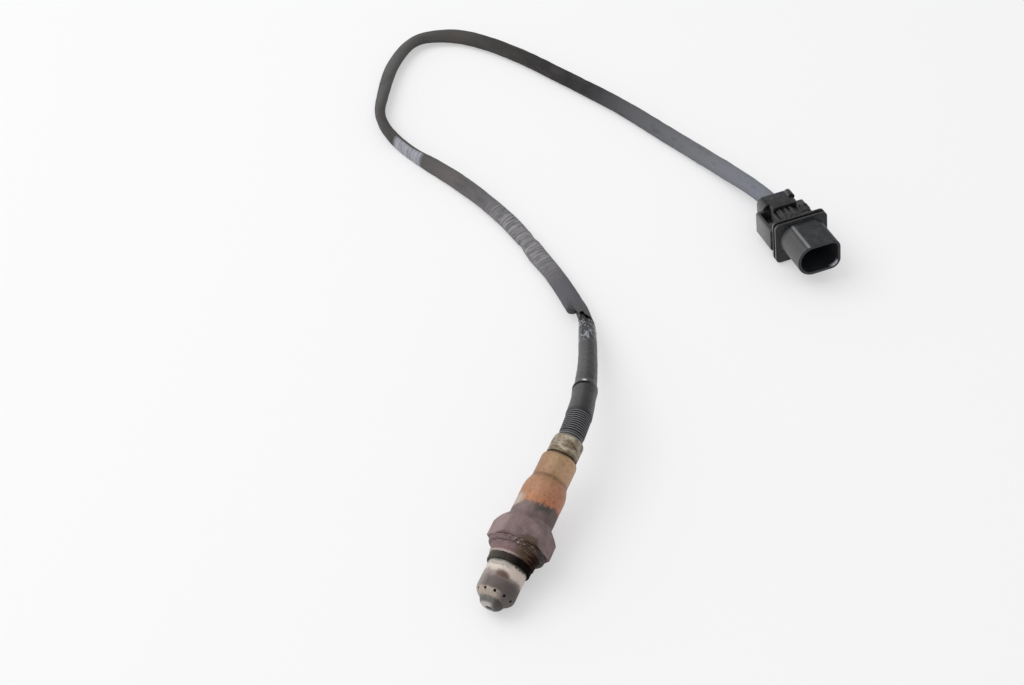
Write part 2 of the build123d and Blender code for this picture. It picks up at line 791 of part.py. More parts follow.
with BuildPart() as contact_pins:
    with BuildSketch(connector_at(cavity_floor - pin_root)):
        with Locations((shroud_x, shroud_y)):
            with GridLocations(pin_pitch_x, pin_pitch_y, pin_count_x, pin_count_y):
                Rectangle(pin_width, pin_thickness)
    extrude(amount=pin_root + pin_reach)
    pin_ends = contact_pins.faces().sort_by(connector_axis)[-pin_count_x * pin_count_y:]
    chamfer(pin_ends.edges(), length=pin_point)
save(contact_pins, "contact_pins")

with BuildPart() as rear_cover:
    with BuildSketch(connector_at(0)):
        with Locations((cover_x, cover_y)):
            RectangleRounded(cover_width, cover_height, cover_corner)
    extrude(amount=cover_depth)
    rear_edges = rear_cover.faces().sort_by(connector_axis)[0].edges()
    fillet(rear_edges, radius=cover_rounding)
    # tongue over the top of the body, with a nub on its right
    with BuildSketch(connector_at(cover_depth - overrun)):
        with Locations(((deck_left + deck_right) / 2, (body_top + cover_top) / 2)):
            Rectangle(deck_right - deck_left, cover_top - body_top)
    extrude(amount=deck_length + overrun)
    with BuildSketch(connector_at(nub_start)):
        with Locations((deck_right, cover_top - nub_diameter / 4)):
            Circle(nub_diameter / 2)
    extrude(amount=nub_length)
    # wire space inside
    with BuildSketch(connector_at(cover_wall)):
        with Locations((chamber_left + chamber_width / 2, body_y)):
            RectangleRounded(chamber_width, chamber_height, chamber_corner)
    extrude(amount=cover_depth - cover_wall, mode=Mode.SUBTRACT)
save(rear_cover, "rear_cover")

lock_rear = cover_depth + deck_length + slot_clearance
with BuildPart() as contact_lock:
    with BuildSketch(connector_at(lock_rear)):
        with Locations((lock_left + lock_width / 2, body_top + lock_height / 2)):
            Rectangle(lock_width, lock_height)
    extrude(amount=lock_length)
    with BuildSketch(connector_at(lock_rear)):
        with Locations((lock_left + lock_width / 2, body_top + lock_height + lock_groove / 2)):
            with GridLocations(lock_width / lock_rib_count, 1, lock_rib_count, 1):
                Rectangle(lock_rib_width, lock_groove)
    extrude(amount=lock_length - lock_rib_setback)
save(contact_lock, "contact_lock")

chamber_front = cover_depth + chamber_depth
with BuildPart() as wire_seal:
    with BuildSketch(connector_at(cover_depth)):
        with Locations((chamber_left + chamber_width / 2, body_y)):
            seal_width = chamber_width - 2 * fit_clearance
            seal_height = chamber_height - 2 * fit_clearance
            RectangleRounded(seal_width, seal_height, chamber_corner - fit_clearance)
            with GridLocations(pin_pitch_x, seal_row_pitch, pin_count_x, pin_count_y):
                Circle(seal_hole / 2, mode=Mode.SUBTRACT)
    extrude(amount=seal_length)
save(wire_seal, "wire_seal")

with BuildPart() as trim_resistor:
    with BuildSketch(connector_at(chamber_front)):
        with Locations((chamber_left + chamber_width / 2, body_y)):
            Rectangle(resistor_length, resistor_width)
    extrude(amount=-resistor_thickness)
save(trim_resistor, "trim_resistor")

print(len(written), "nodes")
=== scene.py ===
from functools import reduce
from math import cos, pi, radians, sin, tau

import bmesh
import bpy
import numpy as np
from mathutils import Matrix, Vector, noise


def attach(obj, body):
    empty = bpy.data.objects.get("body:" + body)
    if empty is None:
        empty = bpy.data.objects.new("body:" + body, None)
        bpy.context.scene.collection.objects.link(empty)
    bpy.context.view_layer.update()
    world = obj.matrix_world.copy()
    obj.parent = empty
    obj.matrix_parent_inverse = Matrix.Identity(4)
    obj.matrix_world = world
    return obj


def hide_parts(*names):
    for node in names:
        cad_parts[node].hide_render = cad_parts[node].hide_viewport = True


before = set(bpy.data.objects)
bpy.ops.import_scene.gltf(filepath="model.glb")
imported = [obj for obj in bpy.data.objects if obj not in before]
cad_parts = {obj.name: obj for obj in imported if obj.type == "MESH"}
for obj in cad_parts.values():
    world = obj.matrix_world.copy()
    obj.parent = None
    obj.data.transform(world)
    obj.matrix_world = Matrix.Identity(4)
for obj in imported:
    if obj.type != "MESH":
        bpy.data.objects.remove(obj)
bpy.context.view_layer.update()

# The look of an exhaust oxygen sensor.  Lengths are written in millimetres and turned to metres
# where a mesh is made.  Stations run along the sensor axis from the sealing ring's front face.
MM = 0.001

# ---- the sensor's axis ----
RING_FRONT = np.array([23.4, 0.0, 10.9706])
LEAN = radians(11.9192)
TIP = np.array([cos(LEAN), 0.0, -sin(LEAN)])
UP = np.array([sin(LEAN), 0.0, cos(LEAN)])
SIDE = np.array([0.0, 1.0, 0.0])
HEX_ROLL = radians(7.5)

# the way from the part to the window of the room
WINDOW = (0.42, -0.907, 0.0)

# ---- routes, repeated from the part ----
BOOT_ROOT = -46.0
BOOT_CORNER = BOOT_ROOT - 14.3
SLEEVE_ROUTE = [(-61, -7.3, 19.0), (-82.8, -15.9, 12.6), (-97.44, -22.4, 8.48)]
LEAD_ROUTE = [
    (-103.6, -28, 7.2), (-119, -42, 4.0), (-136, -63, 3.2), (-152.5, -87.5, 3.2),
    (-166, -117.5, 3.4), (-175, -151, 3.7), (-190.5, -173, 3.9), (-211, -181, 3.9),
    (-233.5, -188, 4.0), (-257.5, -188.5, 4.0), (-268, -176, 3.9), (-272, -160.5, 3.8),
    (-269.5, -134, 3.6), (-261, -103.5, 3.5), (-251.5, -70, 3.5), (-238.5, -38, 3.5),
    (-226.5, -9, 4.2), (-210.7, 19, 8.05), (-204.05, 24.94, 9.3),
]


def station_point(station):
    return RING_FRONT + TIP * station


# ======================= mesh helpers =======================
def link(piece):
    """Puts an object into the scene."""
    bpy.context.scene.collection.objects.link(piece)
    return piece


def write_place(mesh, place):
    """Stores where each vertex lies on its piece, for the materials to read."""
    layer = mesh.attributes.get("place") or mesh.attributes.new("place", "FLOAT_VECTOR", "POINT")
    layer.data.foreach_set("vector", np.ascontiguousarray(place, dtype=np.float32).ravel())


def grid_mesh(name, points, place, closed=False):
    """Mesh of a band: rows of points that each go once round, with its ends closed or open."""
    rows, around = points.shape[:2]
    index = np.arange(rows * around).reshape(rows, around)
    after = np.roll(index, -1, axis=1)
    faces = np.stack([index[:-1], after[:-1], after[1:], index[1:]], axis=-1)
    faces = faces.reshape(-1, 4).tolist()
    if closed:
        faces += [index[0][::-1].tolist(), index[-1].tolist()]
    mesh = bpy.data.meshes.new(name)
    mesh.from_pydata((points.reshape(-1, 3) * MM).tolist(), [], faces)
    mesh.polygons.foreach_set("use_smooth", [True] * len(faces))
    write_place(mesh, place)
    return link(bpy.data.objects.new(name, mesh))


def round_grid(along, around):
    """Value along the piece and angle round it, for rows that start below and go once round."""
    angles = np.linspace(-pi / 2, 3 * pi / 2, around, endpoint=False)
    return np.meshgrid(along, angles, indexing="ij")


def round_place(along, radius, angle):
    return np.stack([along, radius * np.cos(angle), radius * np.sin(angle)], axis=-1)


def outline(corners, step):
    """Rows of (station, radius) along a profile.  A corner is (station, radius, rounding)."""
    corners = [np.array(corner, dtype=float) for corner in corners]
    rows = [corners[0][:2]]

    def run_to(end):
        start = rows[-1]
        parts = max(1, int(np.ceil(np.linalg.norm(end - start) / step)))
        for part in range(1, parts + 1):
            rows.append(start + (end - start) * part / parts)

    for before, here, after in zip(corners, corners[1:], corners[2:]):
        arm_in = before[:2] - here[:2]
        arm_out = after[:2] - here[:2]
        size_in = np.linalg.norm(arm_in)
        size_out = np.linalg.norm(arm_out)
        reach = min(here[2], 0.45 * size_in, 0.45 * size_out)
        start = here[:2] + arm_in / size_in * reach
        end = here[:2] + arm_out / size_out * reach
        run_to(start)
        for part in (0.25, 0.5, 0.75, 1.0):
            rest = 1 - part
            rows.append(start * rest ** 2 + here[:2] * 2 * part * rest + end * part ** 2)
    run_to(corners[-1][:2])
    return np.array(rows)


def rough(points, size, seed):
    """Smooth noise between -1 and 1 at each point, with features of about the given size."""
    shape = points.shape[:-1]
    flat = (points.reshape(-1, 3) / size + seed * 17.31).tolist()
    return np.array([noise.noise(Vector(point)) for point in flat]).reshape(shape)


def dents(place, *waves):
    """Unevenness of a surface: a sum of rough waves, each (height, size, seed)."""
    return sum(height * rough(place, size, seed) for height, size, seed in waves)


def turned(name, corners, around, step, shape):
    """A turned piece round the sensor axis; shape gives each point's final radius."""
    rows = outline(corners, step)
    station, angle = round_grid(rows[:, 0], around)
    radius = np.repeat(rows[:, 1:2], around, axis=1)
    place = round_place(station, radius, angle)
    radius = shape(station, radius, angle, place)
    across = np.cos(angle)[..., None] * SIDE + np.sin(angle)[..., None] * UP
    points = RING_FRONT + station[..., None] * TIP + radius[..., None] * across
    return grid_mesh(name, points, place)


def place_again(mesh):
    """Writes the place attribute of a head piece from where its vertices now are."""
    points = np.empty(len(mesh.vertices) * 3, dtype=np.float32)
    mesh.vertices.foreach_get("co", points)
    points = points.reshape(-1, 3) / MM - RING_FRONT
    write_place(mesh, np.stack([points @ TIP, points @ SIDE, points @ UP], axis=-1))


def settle(piece):
    """Makes a piece's modifiers part of its mesh."""
    graph = bpy.context.evaluated_depsgraph_get()
    mesh = bpy.data.meshes.new_from_object(piece.evaluated_get(graph))
    piece.modifiers.clear()
    piece.data = mesh
    return mesh


def spline_points(name, route, resolution):
    """Points along the NURBS spline that has the route's points as its control points."""
    curve = bpy.data.curves.new(name, "CURVE")
    curve.dimensions = "3D"
    spline = curve.splines.new("NURBS")
    spline.points.add(len(route) - 1)
    for point, spot in zip(spline.points, route):
        point.co = (spot[0] * MM, spot[1] * MM, spot[2] * MM, 1)
    spline.order_u = 3
    spline.use_endpoint_u = True
    spline.resolution_u = resolution
    holder = link(bpy.data.objects.new(name, curve))
    line = bpy.data.meshes.new_from_object(holder)
    points = np.array([vertex.co for vertex in line.vertices]) / MM
    bpy.data.objects.remove(holder)
    bpy.data.curves.remove(curve)
    bpy.data.meshes.remove(line)
    return points


def unit(vectors):
    return vectors / np.linalg.norm(vectors, axis=-1)[..., None]


class Path:
    """A line in space with level sections square to it."""

    def __init__(self, points):
        self.points = points
        steps = np.linalg.norm(np.diff(points, axis=0), axis=1)
        self.lengths = np.concatenate([[0], np.cumsum(steps)])
        self.total = self.lengths[-1]
        self.heading = unit(np.gradient(points, self.lengths, axis=0))

    def at(self, lengths):
        """Centre, direction to the left and direction upward at each length."""
        def pick(values):
            columns = [np.interp(lengths, self.lengths, values[:, k]) for k in range(3)]
            return np.stack(columns, axis=-1)

        heading = unit(pick(self.heading))
        left = unit(np.cross([0, 0, 1], heading))
        return pick(self.points), left, np.cross(heading, left)


def swept(name, path, lengths, around, section, closed=True):
    """A tube along a path.  section gives (to the left, upward, along) from length and angle."""
    length, angle = round_grid(lengths, around)
    left_by, up_by, along_by = section(length, angle)
    centre, left, up = path.at(length + along_by)
    points = centre + left * left_by[..., None] + up * up_by[..., None]
    place = round_place(length, np.sqrt(left_by ** 2 + up_by ** 2), angle)
    return grid_mesh(name, points, place, closed)


def soft_min(a, b, sharp):
    return -np.log(np.exp(-sharp * a) + np.exp(-sharp * b)) / sharp


def ease(value, low, high):
    part = np.clip((value - low) / (high - low), 0, 1)
    return part * part * (3 - 2 * part)


# ======================= material helpers =======================
def tone(red, green, blue):
    """Linear colour from the usual 0 to 255 values."""
    linear = []
    for value in (red, green, blue):
        value /= 255
        linear.append(value / 12.92 if value <= 0.04045 else ((value + 0.055) / 1.055) ** 2.4)
    return (*linear, 1)


class Paint:
    """A material's node tree, built with short calls."""

    def __init__(self, name, metallic=0.0, specular=0.5):
        self.material = bpy.data.materials.new(name)
        self.material.use_nodes = True
        self.tree = self.material.node_tree
        self.shader = self.tree.nodes["Principled BSDF"]
        self.shader.inputs["Metallic"].default_value = metallic
        self.shader.inputs["Specular IOR Level"].default_value = specular

    def node(self, kind, inputs=(), **settings):
        made = self.tree.nodes.new("ShaderNode" + kind)
        for key, value in settings.items():
            setattr(made, key, value)
        for key, value in dict(inputs).items():
            self.feed(made.inputs[key], value)
        return made

    def feed(self, socket, value):
        if isinstance(value, bpy.types.NodeSocket):
            self.tree.links.new(value, socket)
        else:
            socket.default_value = value

    def place(self):
        """The place attribute and its three parts."""
        place = self.node("Attribute", attribute_name="place").outputs["Vector"]
        return (place, *self.node("SeparateXYZ", {0: place}).outputs)

    def world(self):
        """Object coordinates in millimetres."""
        spot = self.node("TexCoord").outputs["Object"]
        return self.scaled(spot, (1 / MM, 1 / MM, 1 / MM))

    def vector(self, operation, a, b, output=0):
        inputs = {0: a, 1: tuple(b)}
        return self.node("VectorMath", inputs, operation=operation).outputs[output]

    def scaled(self, vector, factors):
        return self.vector("MULTIPLY", vector, factors)

    def dot(self, vector, direction):
        return self.vector("DOT_PRODUCT", vector, direction, "Value")

    def noise(self, vector, scale, detail=3.0, roughness=0.55, distortion=0.0):
        inputs = {"Vector": vector, "Scale": scale, "Detail": detail, "Roughness": roughness,
                  "Distortion": distortion}
        return self.node("TexNoise", inputs).outputs["Fac"]

    def maths(self, operation, a, b=0.0, c=0.0):
        return self.node("Math", {0: a, 1: b, 2: c}, operation=operation).outputs[0]

    def times(self, *values):
        return reduce(lambda a, b: self.maths("MULTIPLY", a, b), values)

    def plus(self, a, b):
        return self.maths("ADD", a, b)

    def minus(self, a, b):
        return self.maths("SUBTRACT", a, b)

    def away(self, value, spot):
        """How far a value is from a given one, either way."""
        return self.maths("ABSOLUTE", self.minus(value, spot))

    def span(self, value, low, high, out_low=0.0, out_high=1.0):
        inputs = {0: value, 1: low, 2: high, 3: out_low, 4: out_high}
        return self.node("MapRange", inputs, clamp=True).outputs[0]

    def overlap(self, *spans):
        """Where all of the spans are, as their product."""
        return self.times(*(self.span(*one) for one in spans))

    def stray(self, value, pattern, by):
        """A value that a noise pattern shifts up or down."""
        return self.plus(value, self.span(pattern, 0.3, 0.7, -by, by))

    def mix(self, factor, colour, other):
        """Mixes two colours, each an output or (red, green, blue)."""
        a, b = (tone(*one) if isinstance(one, tuple) else one for one in (colour, other))
        return self.node("Mix", {0: factor, 6: a, 7: b}, data_type="RGBA").outputs[2]

    def touch(self, colour, other, pattern, low, high, share=1.0):
        """Goes over to the other colour where a pattern passes from low to high."""
        return self.mix(self.span(pattern, low, high, 0.0, share), colour, other)

    def ramp(self, value, stops, low=0.0, high=1.0):
        """Colours by a value.  A stop is (value, red, green, blue), its value in low to high."""
        made = self.node("ValToRGB", {0: self.span(value, low, high)})
        band = made.color_ramp
        while len(band.elements) < len(stops):
            band.elements.new(0.5)
        for element, (spot, *colour) in zip(band.elements, stops):
            element.position = (spot - low) / (high - low)
            element.color = tone(*colour)
        return made.outputs[0]

    def shine(self, value):
        self.feed(self.shader.inputs["Specular IOR Level"], value)

    def finish(self, colour, roughness, *bumps):
        """Feeds the shader.  A bump is (height, distance, strength)."""
        self.feed(self.shader.inputs["Base Color"], colour)
        self.feed(self.shader.inputs["Roughness"], roughness)
        normal = None
        for height, distance, strength in bumps:
            inputs = {"Height": height, "Distance": distance * MM, "Strength": strength}
            if normal:
                inputs["Normal"] = normal
            normal = self.node("Bump", inputs).outputs[0]
        if normal:
            self.feed(self.shader.inputs["Normal"], normal)
        return self.material


def dress(piece, material, slot, *nodes):
    """Material, body, slot and the CAD nodes that the piece stands for; the slot is not used."""
    piece.data.materials.clear()
    piece.data.materials.append(material)
    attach(piece, "root")
    if nodes:
        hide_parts(*nodes)


# ======================= materials of the head =======================
def shell_paint():
    """Heat-stained steel: purple-brown hexagon, choked rusty thread and a nearly black lip, with a
    painted highlight by the lip and painted shade down the right of thread and lip.
    """
    paint = Paint("shell_steel", metallic=0.2)
    place, station, right, _ = paint.place()
    broad = paint.noise(place, 0.22, 4, 0.6)
    fine = paint.noise(place, 1.9, 5, 0.65)
    grit = paint.noise(place, 6.5, 3, 0.7)
    hexagon = paint.ramp(broad, [
        (0.30, 98, 80, 81), (0.48, 120, 101, 100), (0.62, 134, 115, 112), (0.75, 110, 90, 90),
    ])
    hexagon = paint.touch(hexagon, (82, 65, 64), fine, 0.40, 0.75, 0.40)
    hexagon = paint.touch(hexagon, (150, 133, 126), grit, 0.60, 0.75, 0.45)
    flush = paint.overlap((right, -3.0, -9.0), (fine, 0.35, 0.6, 0.15, 0.55))
    hexagon = paint.mix(flush, hexagon, (156, 134, 133))
    # thread: mauve crust on top and to the left, ochre and dark ridges to the right
    crust = paint.ramp(fine, [
        (0.30, 80, 60, 60), (0.45, 112, 88, 89), (0.58, 126, 101, 101), (0.72, 108, 88, 86),
    ])
    pits = paint.overlap((grit, 0.44, 0.36), (station, 1.9, 0.3))
    crust = paint.mix(pits, crust, (44, 32, 30))
    flecks = paint.overlap((grit, 0.60, 0.68), (station, 2.4, 0.4))
    crust = paint.mix(flecks, crust, (186, 174, 162))
    lines = paint.maths("SINE", paint.times(station, tau / (THREAD_PITCH / 2)))
    rust = paint.touch((38, 23, 18), (100, 74, 50), lines, -0.4, 0.8)
    rust = paint.touch(rust, (158, 134, 102), grit, 0.55, 0.68, 0.7)
    rust = paint.touch(rust, (40, 26, 24), fine, 0.45, 0.32, 0.8)
    side = paint.stray(right, fine, 1.6)
    thread = paint.touch(crust, rust, side, -0.2, 4.0)
    # painted shade: the thread goes nearly black down its far right side
    thread = paint.touch(thread, (32, 12, 14), side, 6.6, 8.4, 0.95)
    # painted highlight: a pale band round the thread's end by the lip, on its left
    rim_highlight = paint.overlap((station, 3.0, 3.5), (right, 5.0, 0.0, 0.0, 0.75))
    thread = paint.mix(rim_highlight, thread, (178, 160, 154))
    lip = paint.touch((36, 30, 27), (66, 60, 54), fine, 0.35, 0.65)
    # painted shade: the lip goes near black towards its right
    lip = paint.touch(lip, (14, 6, 5), right, 0.0, 4.2)
    worn = paint.overlap((right, -1.0, -6.0), (grit, 0.45, 0.65))
    lip = paint.mix(worn, lip, (104, 104, 92))
    ragged = paint.stray(station, fine, 0.3)
    # rust has crept over the hexagon's right-hand corner
    torn = paint.stray(side, grit, 1.2)
    creep = paint.overlap((torn, 1.2, 4.0), (torn, 9.6, 7.6, 0.0, 2.3))
    creep = paint.plus(ragged, creep)
    crept = paint.touch((64, 46, 38), (92, 72, 58), fine, 0.35, 0.65)
    crept = paint.touch(crept, thread, station, -2.6, -2.2)
    colour = paint.touch(hexagon, crept, creep, -2.7, -1.9)
    colour = paint.touch(colour, lip, ragged, 3.75, 4.05)
    # less shine down the far right side, where the painted shade is
    dull = paint.overlap((side, 5.5, 7.5), (station, -2.2, -1.9))
    gloss = paint.span(ragged, 3.7, 4.1, 0.5, 0.10)
    paint.shine(paint.times(gloss, paint.span(dull, 0.0, 1.0, 1.0, 0.08)))
    roughness = paint.span(fine, 0.3, 0.7, 0.52, 0.75)
    return paint.finish(colour, roughness, (fine, 0.14, 0.8), (grit, 0.07, 0.9))


def ring_paint():
    """Crushed sealing ring: mauve scale with dark pits and bright specks, browner on its right,
    with painted shade at its far right.
    """
    paint = Paint("ring_steel", metallic=0.2)
    place, _, right, _ = paint.place()
    fine = paint.noise(place, 1.6, 5, 0.65)
    grit = paint.noise(place, 4.2, 3, 0.7)
    colour = paint.ramp(fine, [
        (0.32, 72, 56, 56), (0.46, 104, 84, 84), (0.60, 122, 101, 101), (0.72, 96, 78, 77),
    ])
    brown = paint.ramp(fine, [
        (0.32, 32, 21, 19), (0.46, 66, 49, 37), (0.60, 92, 70, 52), (0.72, 56, 39, 30),
    ])
    side = paint.stray(right, fine, 2.0)
    colour = paint.touch(colour, brown, side, 1.0, 5.0)
    # painted shade: nearly black at the far right side
    colour = paint.touch(colour, (30, 17, 19), side, 8.2, 9.8, 0.9)
    # pits and bright specks, thick on the upper right and sparse elsewhere
    flaked = paint.overlap((right, -3.5, 0.0, 0.15, 1.0), (right, 8.0, 6.0, 0.3, 1.0))
    coarse = paint.noise(place, 1.15, 2, 0.5)
    pits = paint.times(flaked, paint.span(coarse, 0.43, 0.37))
    colour = paint.mix(pits, colour, (22, 16, 14))
    specks = paint.times(flaked, paint.span(coarse, 0.60, 0.66))
    colour = paint.mix(specks, colour, (176, 166, 154))
    roughness = paint.span(grit, 0.3, 0.7, 0.45, 0.70)
    return paint.finish(colour, roughness, (fine, 0.16, 0.9), (grit, 0.10, 0.9))


def tube_paint():
    """Tube: cream bands by the lip, a brown patch, a dark band, a beige one and a grey dome, with
    painted shade down the right of the beige band and dome and a painted highlight on the nose.
    """
    paint = Paint("tube_steel", metallic=0.2)
    place, station, right, height = paint.place()
    broad = paint.noise(paint.scaled(place, (0.6, 1.0, 1.0)), 0.33, 4, 0.6)
    fine = paint.noise(place, 1.5, 5, 0.65)
    grit = paint.noise(place, 6.0, 3, 0.7)
    uneven = paint.stray(paint.span(broad, 0.25, 0.75, -0.9, 0.9), fine, 0.4)
    wander = paint.plus(paint.plus(station, uneven), paint.span(right, 2.0, 6.0, 0.0, -0.5))
    colour = paint.ramp(wander, [
        (6.3, 72, 70, 62), (7.1, 128, 125, 115), (7.9, 172, 165, 157), (8.6, 158, 150, 141),
        (9.4, 204, 193, 184), (10.4, 192, 179, 169), (11.2, 150, 136, 130),
        (12.6, 128, 116, 112), (13.8, 92, 81, 79), (17.0, 84, 74, 73),
    ], 6.0, 18.5)
    cream = paint.overlap((wander, 6.4, 7.4), (wander, 12.0, 10.8), (right, 1.5, 4.0, 0.0, 0.9))
    colour = paint.mix(cream, colour, (206, 190, 181))

    def squared(value, centre, half):
        return paint.maths("POWER", paint.maths("DIVIDE", paint.minus(value, centre), half), 2.0)

    # brown patch on top
    reach = paint.plus(squared(station, 11.9, 1.5), squared(right, 1.1, 2.8))
    reach = paint.stray(reach, fine, 0.5)
    brown = paint.overlap((reach, 1.2, 0.2, 0.0, 0.95), (height, 0.0, 3.0))
    colour = paint.mix(brown, colour, (88, 64, 52))
    pale = paint.overlap((right, -3.0, -6.0, 0.0, 0.7), (wander, 10.5, 12.0))
    colour = paint.mix(pale, colour, (154, 145, 142))
    shade = paint.overlap((right, 2.5, 5.5, 0.0, 0.85), (wander, 11.6, 13.2))
    colour = paint.mix(shade, colour, (80, 70, 69))
    dome = paint.stray(paint.span(right, 3.0, 7.0, 0.0, -1.0), fine, 0.4)
    dome = paint.plus(station, dome)
    beige = paint.touch((142, 126, 116), (176, 164, 150), fine, 0.35, 0.65)
    # painted shade: the beige band darkens towards its right side
    beige = paint.touch(beige, (82, 74, 70), right, 1.2, 4.0)
    colour = paint.touch(colour, beige, dome, 17.5, 18.2)
    grey = paint.touch((84, 82, 78), (104, 102, 98), broad, 0.35, 0.65)
    # painted highlight: a pale patch on the left of the nose
    glow = paint.overlap((station, 22.0, 22.6), (right, 1.8, 0.4))
    grey = paint.mix(glow, grey, (174, 171, 169))
    # painted shade: the dome darkens towards its right side
    grey = paint.touch(grey, (62, 56, 52), right, 1.0, 2.6)
    colour = paint.touch(colour, grey, dome, 20.0, 20.5)
    colour = paint.touch(colour, (186, 176, 164), grit, 0.58, 0.75, 0.40)
    colour = paint.touch(colour, (62, 52, 50), fine, 0.36, 0.26, 0.6)
    roughness = paint.span(fine, 0.3, 0.7, 0.46, 0.68)
    return paint.finish(colour, roughness, (fine, 0.08, 0.7), (grit, 0.04, 0.7))


def sleeve_paint():
    """Protective sleeve: burnt by the hexagon, then copper, a brown step and a tan upper end."""
    paint = Paint("sleeve_steel", metallic=0.25)
    place, station, right, _ = paint.place()
    broad = paint.noise(place, 0.20, 4, 0.6)
    fine = paint.noise(place, 1.7, 5, 0.65)
    grit = paint.noise(place, 7.0, 3, 0.7)
    streaks = paint.noise(paint.scaled(place, (0.05, 1.0, 1.0)), 1.1, 4, 0.6)
    steel = paint.ramp(station, [
        (-41.2, 78, 62, 46), (-40.3, 160, 132, 98), (-34.0, 162, 130, 99),
        (-31.9, 152, 116, 84), (-31.1, 104, 74, 50), (-30.2, 126, 90, 62),
        (-29.4, 162, 116, 86), (-27.0, 168, 120, 90), (-24.0, 166, 116, 86),
    ], -42.0, -13.0)
    steel = paint.touch(steel, (134, 112, 84), streaks, 0.40, 0.62, 0.40)
    steel = paint.touch(steel, (190, 158, 124), streaks, 0.42, 0.30, 0.18)
    # painted light: the upper part is paler on its right side
    upper = paint.span(station, -30.4, -32.2)
    upper_right_painted_light = paint.times(upper, paint.span(right, 2.0, 5.5, 0.0, 0.60))
    steel = paint.mix(upper_right_painted_light, steel, (200, 160, 128))
    upper_left = paint.times(upper, paint.span(right, 0.8, -3.5, 0.0, 0.60))
    steel = paint.mix(upper_left, steel, (140, 102, 78))
    lower_right = paint.overlap((station, -31.0, -29.6), (right, 2.5, 5.5, 0.0, 0.55))
    steel = paint.mix(lower_right, steel, (176, 116, 92))
    mottle = paint.noise(place, 0.75, 4, 0.65)
    steel = paint.touch(steel, (128, 96, 60), mottle, 0.50, 0.66, 0.50)
    steel = paint.touch(steel, (188, 144, 106), mottle, 0.46, 0.34, 0.25)
    burnt = paint.ramp(broad, [(0.32, 99, 82, 81), (0.50, 118, 101, 98), (0.66, 127, 110, 106)])
    burnt = paint.touch(burnt, (86, 68, 66), fine, 0.40, 0.70, 0.4)
    burnt = paint.touch(burnt, (142, 126, 118), grit, 0.60, 0.75, 0.4)
    # the burnt edge, which lies further back on the right
    wander = paint.maths("MULTIPLY_ADD", right, 0.15, station)
    wander = paint.stray(paint.stray(wander, broad, 1.1), fine, 0.9)
    orange = paint.overlap((wander, -22.4, -19.6), (fine, 0.42, 0.60, 0.1, 0.75))
    steel = paint.mix(orange, steel, (176, 104, 66))
    specks = paint.overlap((mottle, 0.56, 0.62), (wander, -24.5, -20.5, 0.0, 0.9))
    steel = paint.mix(specks, steel, (150, 80, 40))
    burnt = paint.touch(burnt, (68, 54, 50), right, 3.5, 6.5, 0.45)
    edge = paint.span(wander, -19.0, -18.3)
    colour = paint.mix(edge, steel, burnt)
    stain = paint.overlap((wander, -19.4, -18.2), (wander, -14.6, -16.4))
    dark_side = paint.overlap((right, 0.6, 2.8), (right, 7.6, 5.8))
    colour = paint.mix(paint.times(stain, dark_side), colour, (76, 68, 62))
    pale = paint.overlap((wander, -22.6, -21.4), (wander, -17.0, -18.4))
    pale = paint.times(pale, paint.span(right, -3.4, -5.8), 0.85)
    colour = paint.mix(pale, colour, (176, 166, 156))
    roughness = paint.span(fine, 0.3, 0.7, -0.06, 0.08)
    roughness = paint.plus(paint.span(edge, 0.0, 1.0, 0.46, 0.62), roughness)
    return paint.finish(colour, roughness, (fine, 0.09, 0.7), (grit, 0.04, 0.7))


def collar_paint():
    """Crimp collar: mottled silver and olive with scratches round it, dark inside the groove."""
    paint = Paint("collar_steel", metallic=0.3)
    place, station, _, _ = paint.place()
    mottle = paint.noise(paint.scaled(place, (1.0, 0.55, 0.55)), 0.55, 4, 0.65)
    rings = paint.noise(paint.scaled(place, (1.0, 0.10, 0.10)), 2.2, 4, 0.65)
    grit = paint.noise(place, 5.0, 3, 0.7)
    colour = paint.ramp(mottle, [
        (0.34, 84, 74, 50), (0.46, 120, 107, 86), (0.56, 146, 134, 116), (0.68, 182, 170, 154),
    ])
    colour = paint.touch(colour, (98, 84, 60), rings, 0.50, 0.34, 0.75)
    colour = paint.touch(colour, (214, 206, 194), rings, 0.58, 0.72, 0.70)
    colour = paint.touch(colour, (88, 76, 58), grit, 0.60, 0.72, 0.5)
    colour = paint.touch(colour, (58, 38, 24), station, -42.6, -42.2)
    roughness = paint.span(grit, 0.3, 0.7, 0.34, 0.56)
    return paint.finish(colour, roughness, (rings, 0.05, 0.7), (mottle, 0.06, 0.6))


# ======================= head meshes =======================
HEX_FLAT = 11.0
HEX_CORNER = 12.70
THREAD_PITCH = 1.5
THREAD_START = 0.3
THREAD_END = 3.9
THREAD_ROOT = 8.2


def shell_shape(station, radius, angle, place):
    turn = (angle + HEX_ROLL) % (pi / 3) - pi / 6
    flat = HEX_FLAT / np.cos(turn)
    on_hexagon = (station > -13.6) & (station < -2.05)
    cut = soft_min(radius, soft_min(flat, HEX_CORNER - 0.03, 14.0), 16.0)
    radius = np.where(on_hexagon & (radius > 8.6), np.minimum(cut, radius), radius)
    # right-hand thread: choked with deposits on top, and sharper down its right side
    sharp = ease(np.cos(angle - radians(2)), 0.15, 0.85)
    wave = (station / THREAD_PITCH - angle / tau) % 1.0
    crest = np.abs(wave - 0.5) * 2
    groove = (0.10 + 0.42 * sharp) * ease(crest, 0.25, 0.95)
    groove *= ease(station, THREAD_START, 0.9) * ease(4.1, station, station + 0.5)
    # a bank of deposits against the sealing ring
    bank = (0.85 - 0.35 * sharp) * np.exp(-np.maximum(station - 0.1, 0) ** 1.5 / 0.9)
    bank = bank * (1 + 0.4 * rough(place, 1.5, 3))
    on_thread = (station > 0.0) & (station < THREAD_END) & (radius > 8.3)
    threaded = np.maximum(radius - groove, THREAD_ROOT) + np.maximum(bank, 0)
    radius = np.where(on_thread, threaded, radius)
    return radius + dents(place, (0.05, 2.4, 1), (0.035, 0.8, 2)) * (radius > 8.0) - 0.05


